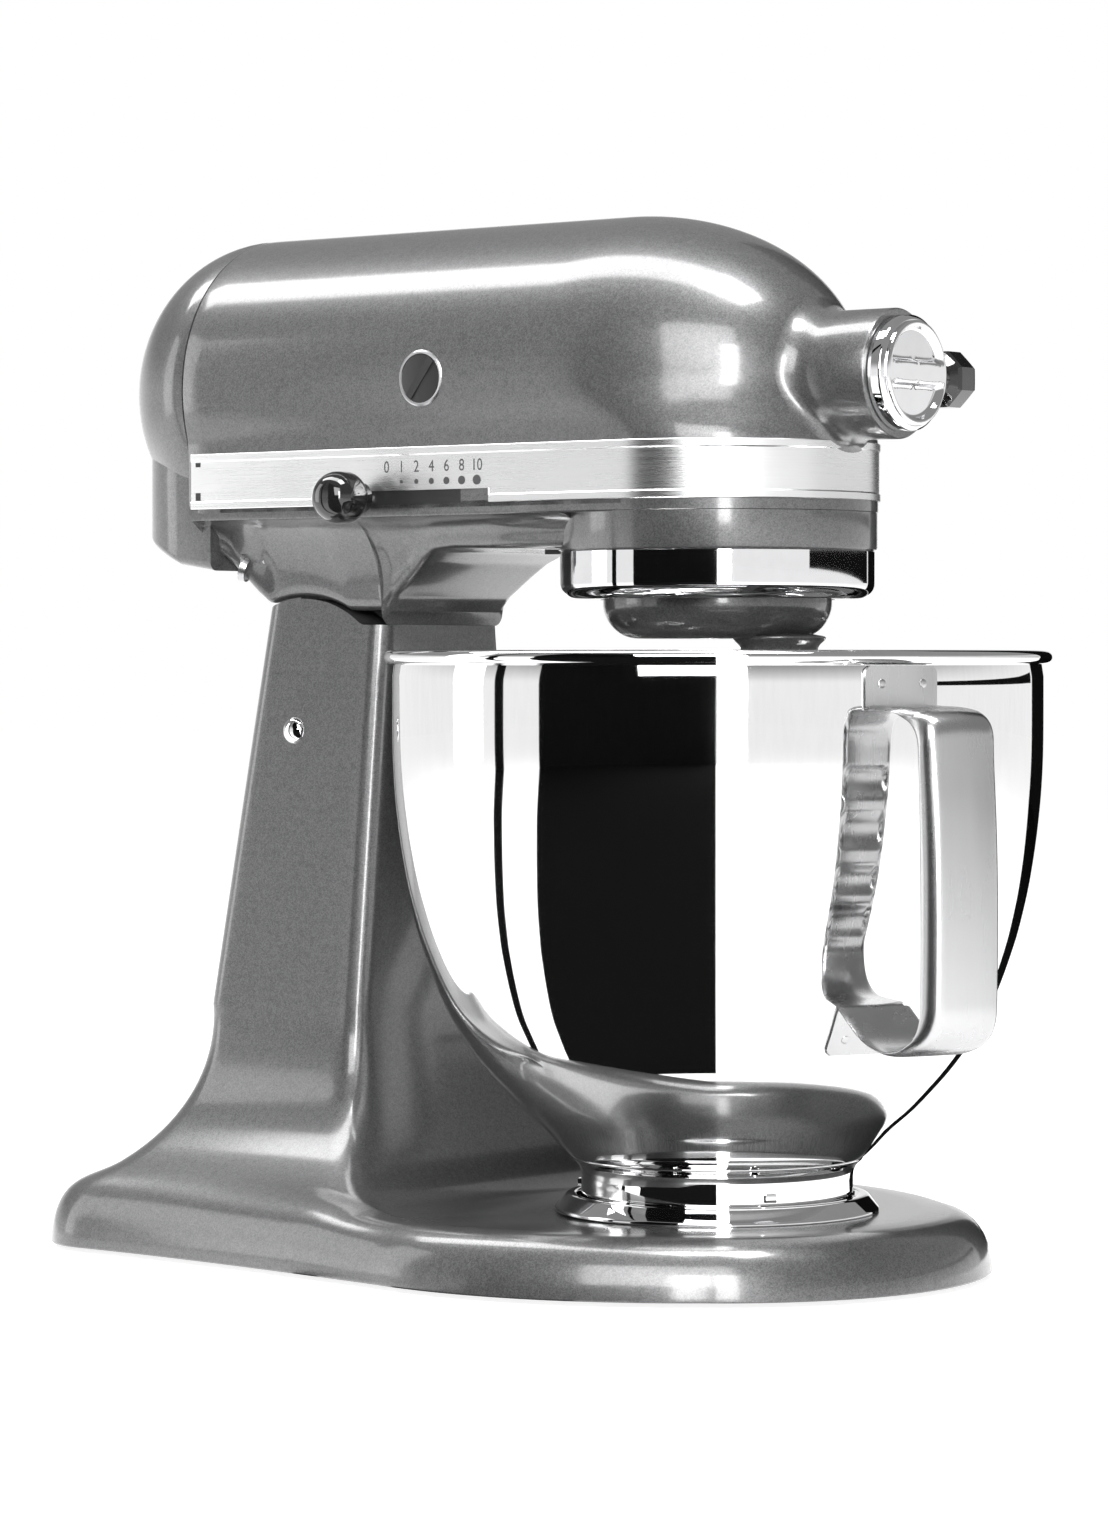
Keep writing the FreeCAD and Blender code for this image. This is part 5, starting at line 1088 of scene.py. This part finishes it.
# the handle's outer and inner lines in (radius, height), matched corner by corner
def handleLines():
    outer = [(108.9, 191.2, 0), (131.0, 191.0, 6), (143.4, 188.8, 9), (146.8, 150.0, 50), (147.3, 118.0, 50),
             (146.4, 85.6, 14), (122.0, 80.8, 12), (107.5, 83.6, 9), (93.4, 94.0, 0)]
    inner = [(109.0, 189.6, 0), (124.0, 189.2, 5), (137.4, 183.8, 26), (138.6, 150.0, 40), (139.0, 118.0, 40),
             (138.6, 88.8, 12), (122.0, 82.6, 12), (108.4, 85.2, 8), (94.4, 95.2, 0)]
    pairs = list(zip(softened(outer, 8, steps=12, closed=False), softened(inner, 8, steps=12, closed=False)))
    fine = []
    for (a, c), (b, d) in zip(pairs, pairs[1:]):
        count = max(int((b - a).length / 1.2), 1)
        fine += [(a.lerp(b, k / count), c.lerp(d, k / count)) for k in range(count)]
    return fine + [pairs[-1]]


# a thin tab lying on the bowl's wall
def wallTab(low, high, half, thick, trim):
    rings = []
    for k in range(15):
        z = lerp(low, high, k / 14)
        edge = min(k, 14 - k)
        pinch = trim[0 if k < 7 else 1] * (1.0, 0.3, 0.05)[edge] if edge < 3 else 0.0
        across = [lerp(-half + pinch, half - pinch, j / 8) for j in range(9)]
        inner = [Vector((math.sqrt(wallRadius(z) ** 2 - y * y) + 0.05, y, z)) for y in across]
        outer = [Vector((p.x + thick, p.y, p.z)) for p in reversed(inner)]
        rings.append(inner + outer)
    return skin(rings)


def makeHandle():
    grip = {"turn": -22.0, "half": 13.6, "crown": 1.7, "round": 4.2, "scallop": 3.6, "pitch": 20.5,
            "top": 172.5}
    rings = []
    for outer, inner in handleLines():
        inward = (inner - outer).normalized()
        depth = (inner - outer).length
        full = smooth((depth - 1.8) / 5.5)
        phase = (grip["top"] - outer.y) / grip["pitch"]
        inGrip = outer.x > 140 and 0.0 <= phase <= 4.0
        scallop = grip["scallop"] * full * max(math.sin(math.pi * (phase % 1.0) * 1.25),
                                               0.0) if inGrip else 0.0
        section = []
        for j in range(21):
            across = -1 + j / 10
            edge = max(abs(across) - 0.68, 0.0) / 0.32
            tuck = min(grip["round"], depth * 0.55) * (1 - math.sqrt(max(1 - edge * edge, 0.0)))
            section.append((across * grip["half"], grip["crown"] * full * across * across + tuck))
        for j in range(21):
            across = 1 - j / 10
            edge = max(abs(across) - 0.9, 0.0) / 0.1
            tuck = min(0.9, depth * 0.3) * (1 - math.sqrt(max(1 - edge * edge, 0.0)))
            dish = scallop * smooth((1 - abs(across)) / 0.22)
            section.append((across * grip["half"], depth - tuck - dish))
        rings.append([Vector((outer.x + inward.x * away, y, outer.y + inward.y * away)) for y,
                      away in section])
    shells = [skin(rings), wallTab(189.6, 203.6, 13.6, 1.3, (0.3, 1.6)),
              wallTab(79.4, 94.6, 13.4, 1.3, (2.2, 0.3))]
    turned = [moved(shell, Matrix.Rotation(math.radians(grip["turn"]), 4, "Z")) for shell in shells]
    makePiece("bowlHandle", turned, handleSteel, "bowl", ["handle_shell", "handle_grip"],
              sharp=50)


# the small pressed marks of the spot welds on both tabs, one node tree placed at four points
def makeWelds():
    weld = {"radius": 1.45, "rise": 0.34, "turn": -22.0,
            "spots": ((-7.8, 198.0), (7.8, 198.0), (-7.8, 84.6), (7.8, 84.6))}
    verts, normals = [], []
    for y, z in weld["spots"]:
        slope = (wallRadius(z + 2) - wallRadius(z - 2)) / 4.0
        spin = Matrix.Rotation(math.radians(weld["turn"]), 3, "Z")
        verts.append(spin @ Vector((math.sqrt(wallRadius(z) ** 2 - y * y) + 1.35, y, z)) * mm)
        normals.append((spin @ Vector((1.0, y / wallRadius(z), -slope))).normalized())
    tree, given, result = newShapeTree("weldMarks",
                                       [("Radius", weld["radius"] * mm), ("Rise", weld["rise"] * mm)])
    bead = addNode(tree, "GeometryNodeMeshUVSphere", {"Segments": 24, "Rings": 10})
    ratio = addNode(tree, "ShaderNodeMath", operation="DIVIDE")
    squash = addNode(tree, "ShaderNodeCombineXYZ", {"X": 1.0, "Y": 1.0})
    flatten = addNode(tree, "GeometryNodeTransform")
    wire(tree, (given, "Radius", bead, "Radius"), (given, "Rise", ratio, 0), (given, "Radius", ratio, 1),
         (ratio, 0, squash, "Z"), (bead, "Mesh", flatten, "Geometry"), (squash, 0, flatten, "Scale"))
    scatterOnPoints(tree, given, result, flatten, handleSteel)
    makeScattered("weldMarks", tree, verts, normals,
                  {"Radius": weld["radius"] * mm, "Rise": weld["rise"] * mm}, "bowl")


makeWelds()
makeHandle()
print("handle made")

# drip ring and planetary


def makeDripRing():
    outer = dripHigh.x
    low, high = dripLow.z, dripHigh.z + 0.05
    profile = [(outer - 1.6, high)]
    profile += [(outer - 0.5, high), (outer, high - 0.5), (outer, low + 5.2)]
    profile += [(outer - 5.2 + 5.2 * math.cos(a), low + 5.2 - 5.2 * math.sin(a))
                for a in (math.pi / 2 * k / 10 for k in range(1, 11))]
    profile += [(39.9, low), (39.6, low + 0.4), (39.6, low + 1.4), (outer - 6, low + 1.4),
                (outer - 1.6, low + 6)]
    makePiece("dripRing", [lathe(profile, segments=160, closed=True)], chrome, "head",
              ["drip_ring"], sharp=40)


def makePlanetary():
    outer, bend, low, high = 38.3, 12.0, planetLow.z + 5.4, planetHigh.z
    profile = [(0, low), (outer - bend - 3, low)]
    profile += [(outer - bend + bend * math.sin(a), low + bend * (1 - math.cos(a)))
                for a in (math.pi / 2 * k / 14 for k in range(15))]
    profile += [(outer, high - 0.6), (outer - 0.6, high), (0, high)]
    hub = lathe(profile, segments=144)
    boss = lathe(softened([(0, planetLow.z), (12.6, planetLow.z, 0.8), (12.9, low - 2.5, 1.5),
                           (16.5, low + 0.6, 3.0),
                           (0, low + 3)], 0.6, closed=False), at=(agitatorX - 1.0, 0, 0), segments=72)
    makePiece("planetaryHub", [hub, boss], paint, "planetary", ["planetary_hub"], sharp=40)


makeDripRing()
makePlanetary()
print("planetary made")

# attachment hub


def makeHub():
    front = hubHigh.x
    ring = softened([(15.4, hubLow.x + 0.2), (18.9, hubLow.x + 0.2, 0.3), (18.9, front - 1.2, 0.4),
                     (17.7, front, 0.5), (15.4, front, 0.2)], 0.3)
    makePiece("hubRing", [lathe([(r, h - front) for r, h in ring], at=(front, 0, hubZ), along="X",
                                segments=112, closed=True)], chrome, "head", ["hub_ring"])
    cap = {"radius": 17.0, "rib": 3.1, "dish": 1.9, "rim": 1.3, "back": 7.0, "backShare": 0.85}
    count, rows = 112, 26
    rings = []
    for k in range(rows + 1):
        radius = cap["radius"] * (k / rows) ** 0.9
        ring = []
        for j in range(count):
            turn = 2 * math.pi * j / count
            y, z = radius * math.cos(turn), radius * math.sin(turn)
            wall = smooth((cap["radius"] - cap["rim"] - radius) / 1.6)
            bank = smooth((abs(z) - cap["rib"]) / 1.5)
            bowlShape = 1.0 + 0.35 * (abs(z) / cap["radius"])
            depth = cap["dish"] * wall * bank * bowlShape
            edge = 0.5 * smooth((radius - cap["radius"] + 0.7) / 0.7)
            ring.append(Vector((capHigh.x - depth - edge, y, hubZ + z)))
        rings.append(ring)
    rings.append([Vector((front + 0.1, p.y, p.z)) for p in rings[-1]])
    rings.append([Vector((front - cap["back"], p.y * cap["backShare"],
                          hubZ + (p.z - hubZ) * cap["backShare"])) for p in rings[-2]])
    rings.append([Vector((front - cap["back"], 0, hubZ))] * count)
    makePiece("hubCap", [skin(rings, caps=(False, False))], chrome, "hub_cap", ["hub_cap"],
              sharp=50)


makeHub()
print("hub made")


def makeAttachmentKnob():
    low, high = spanOf("attachment_knob")
    centre = (low + high) / 2
    radius = (high.z - low.z) / 2
    knob = {"count": 96, "facetStart": 0.3, "facetEnd": 0.97, "facetDepth": 0.9}
    eighth = math.pi / 8
    rings = []
    # shares of the radius and of the length
    profile = [(0.0, 0.02), (0.62, 0.02), (0.66, 0.1), (0.66, 0.22), (0.9, 0.34), (0.98, 0.42), (0.98, 0.84),
               (0.9, 0.94), (0.7, 0.99), (0.0, 1.0)]
    for share, along in profile:
        ring = []
        for k in range(knob["count"]):
            turn = 2 * math.pi * k / knob["count"]
            facet = math.cos(eighth) / math.cos((turn + eighth) % (2 * eighth) - eighth)
            faceted = knob["facetStart"] < along < knob["facetEnd"]
            out = radius * share * (lerp(1.0, facet, knob["facetDepth"]) if faceted else 1.0)
            ring.append(Vector((centre.x + out * math.cos(turn), lerp(low.y, high.y, along),
                                centre.z + out * math.sin(turn))))
        rings.append(ring)
    makePiece("hubKnob", [skin(rings, caps=(False, False))], blackGloss, "hub_knob",
              ["attachment_knob"], sharp=14)


def makeBrushCaps():
    cap = {"radius": 8.3, "rim": 9.5, "slotHalf": 1.35, "slotReach": 7.9, "slotTurn": -38}
    low, high = spanOf("brush_caps")
    centre = ((low.x + high.x) / 2, 0, (low.z + high.z) / 2)
    reach = head["radius"]
    dome = softened([(0, reach - 4), (cap["radius"], reach - 4), (cap["radius"], reach + 0.1, 0.5),
                     (0, reach + 0.5)], 0.6, closed=False)
    caps = [lathe(dome, at=centre, along=side, segments=72) for side in ("-Y", "Y")]
    makePiece("brushCaps", caps, blackSatin, "head", ["brush_caps"])
    slots = []
    for side in (-1, 1):
        upright = Matrix.Translation((centre[0], side * (reach + 0.42), centre[2]))
        upright = upright @ Matrix.Rotation(math.pi / 2 * side, 4, "X")
        bar = slab((-cap["slotHalf"], -cap["slotReach"], -0.3), (cap["slotHalf"], cap["slotReach"], 0.05))
        slots.append(moved(bar, upright @ Matrix.Rotation(math.radians(cap["slotTurn"] * side), 4, "Z")))
    makePiece("brushCapSlots", slots, rubber, "head")
    collar = [(cap["radius"], reach - 2), (cap["rim"], reach - 2), (cap["rim"], reach - 0.1),
              (cap["rim"] - 0.5, reach + 0.25), (cap["radius"], reach + 0.2)]
    rims = [lathe(collar, at=centre, along=side, segments=72, closed=True) for side in ("-Y", "Y")]
    makePiece("brushCapRims", rims, screwSteel, "head")


makeAttachmentKnob()
makeBrushCaps()
print("knobs and caps made")

# studio


def makeCamera():
    view = {"place": (0.9551, -1.3160, 0.2048), "tilt": 90 - 1.203, "turn": 37.896, "lens": 114.505}
    data = bpy.data.cameras.new("studioCamera")
    data.lens = view["lens"]
    data.sensor_width = 36.0
    camera = bpy.data.objects.new("studioCamera", data)
    camera.location = view["place"]
    camera.rotation_euler = (math.radians(view["tilt"]), 0, math.radians(view["turn"]))
    bpy.context.scene.collection.objects.link(camera)
    bpy.context.scene.camera = camera


def plainMaterial(name, colour, roughness=0.9):
    material = bpy.data.materials.new(name)
    material.use_nodes = True
    shader = material.node_tree.nodes["Principled BSDF"]
    shader.inputs["Base Color"].default_value = colour + (1,)
    shader.inputs["Roughness"].default_value = roughness
    shader.inputs["Specular IOR Level"].default_value = 0.0
    return material


def makeFloor():
    mesh = bpy.data.meshes.new("floor")
    reach = 9.0
    mesh.from_pydata([(-reach, -reach, 0), (reach, -reach, 0), (reach, reach, 0), (-reach, reach, 0)], [],
                     [(0, 1, 2, 3)])
    floorMaterial = plainMaterial("paleFloor", (0.5, 0.5, 0.5))
    tree = floorMaterial.node_tree
    shader = tree.nodes["Principled BSDF"]
    shader.inputs["Emission Color"].default_value = (1, 1, 1, 1)
    path = addNode(tree, "ShaderNodeLightPath")
    # full white to look at, weaker as a lamp
    strength = addNode(tree, "ShaderNodeMath", {1: -0.6, 2: 0.85}, operation="MULTIPLY_ADD")
    wire(tree, (path, "Is Diffuse Ray", strength, 0), (strength, 0, shader, "Emission Strength"))
    mesh.materials.append(floorMaterial)
    floor = bpy.data.objects.new("floor", mesh)
    bpy.context.scene.collection.objects.link(floor)


# a black card that only reflections see, bent round the object between two (distance, height) edges
def makeCard(name, fromDegrees, toDegrees, edges, count=24):
    verts, faces = [], []
    for k in range(count + 1):
        turn = math.radians(lerp(fromDegrees, toDegrees, k / count))
        for distance, height in edges:
            verts.append((distance * math.cos(turn), distance * math.sin(turn), height))
    for k in range(count):
        faces.append((2 * k, 2 * k + 2, 2 * k + 3, 2 * k + 1))
    mesh = bpy.data.meshes.new(name)
    mesh.from_pydata(verts, [], faces)
    mesh.materials.append(plainMaterial("blackCard", (0.004, 0.004, 0.004)))
    card = bpy.data.objects.new(name, mesh)
    bpy.context.scene.collection.objects.link(card)
    card.visible_camera = False
    card.visible_diffuse = False
    card.visible_shadow = False


def makeLight(name, place, target, size, power, ratio=1.0):
    data = bpy.data.lights.new(name, "AREA")
    data.shape = "RECTANGLE"
    data.size = size
    data.size_y = size * ratio
    data.energy = power
    light = bpy.data.objects.new(name, data)
    light.location = place
    light.rotation_euler = (Vector(target) - Vector(place)).to_track_quat("-Z", "Y").to_euler()
    light.visible_camera = False
    bpy.context.scene.collection.objects.link(light)


# white behind the object; for its own light the sky is bright only near the horizon
def makeWorld():
    sky = {"horizon": 1.0, "above": 0.3, "fadeStart": 0.04, "fadeEnd": 0.3}
    world = bpy.data.worlds.new("studio")
    bpy.context.scene.world = world
    world.use_nodes = True
    tree = world.node_tree
    glow = tree.nodes["Background"]
    glow.inputs["Color"].default_value = (1, 1, 1, 1)
    plain = addNode(tree, "ShaderNodeBackground", {"Color": (1, 1, 1, 1), "Strength": 1.0})
    direction = addNode(tree, "ShaderNodeTexCoord")
    parts = addNode(tree, "ShaderNodeSeparateXYZ")
    fade = addNode(tree, "ShaderNodeMapRange", {"From Min": sky["fadeStart"], "From Max": sky["fadeEnd"],
                                                "To Min": sky["horizon"], "To Max": sky["above"]},
                   interpolation_type="SMOOTHSTEP")
    path = addNode(tree, "ShaderNodeLightPath")
    choose = addNode(tree, "ShaderNodeMixShader")
    wire(tree, (direction, "Generated", parts, 0), (parts, "Z", fade, "Value"),
         (fade, "Result", glow, "Strength"),
         (path, "Is Camera Ray", choose, 0), (glow, 0, choose, 1), (plain, 0, choose, 2),
         (choose, 0, tree.nodes["World Output"], "Surface"))


def makeStudio():
    makeWorld()
    makeFloor()
    cards = {"broad": (-54.5, -117.0), "narrow": (-132.0, -136.0), "far": (88.0, 112.0)}
    # every card runs on along the floor, so that its reflection runs on down the bowl
    for name, (start, end) in cards.items():
        makeCard(name + "Card", start, end, ((2.2, 0.0), (2.2, 2.6)))
        makeCard(name + "FloorCard", start, end, ((2.2, 0.0004), (0.1, 0.0004)), count=16)
    makeCard("rightHighCard", 15.0, 85.0, ((1.4, 0.212), (1.4, 0.275)))
    middle = (-0.06, 0.0, 0.2)
    makeLight("overheadStrip", (-0.55, -0.27, 1.75), (-0.55, -0.17, 0.3), 2.5, 34, 0.2)
    makeLight("noseGlow", (0.5, -0.24, 1.75), (0.5, -0.2, 0.3), 0.6, 18, 0.8)
    makeLight("key", (0.72, -1.54, 1.0), middle, 1.1, 24, 1.0)
    makeLight("chinStrip", (1.345, -1.547, 0.6), (0.0, 0.0, 0.3), 0.34, 19, 3.4)
    makeLight("leftSide", (-1.5, -0.9, 0.6), middle, 0.5, 4.0, 2.2)
    bpy.context.scene.view_settings.view_transform = "Standard"


makeCamera()
makeStudio()
print("studio made")
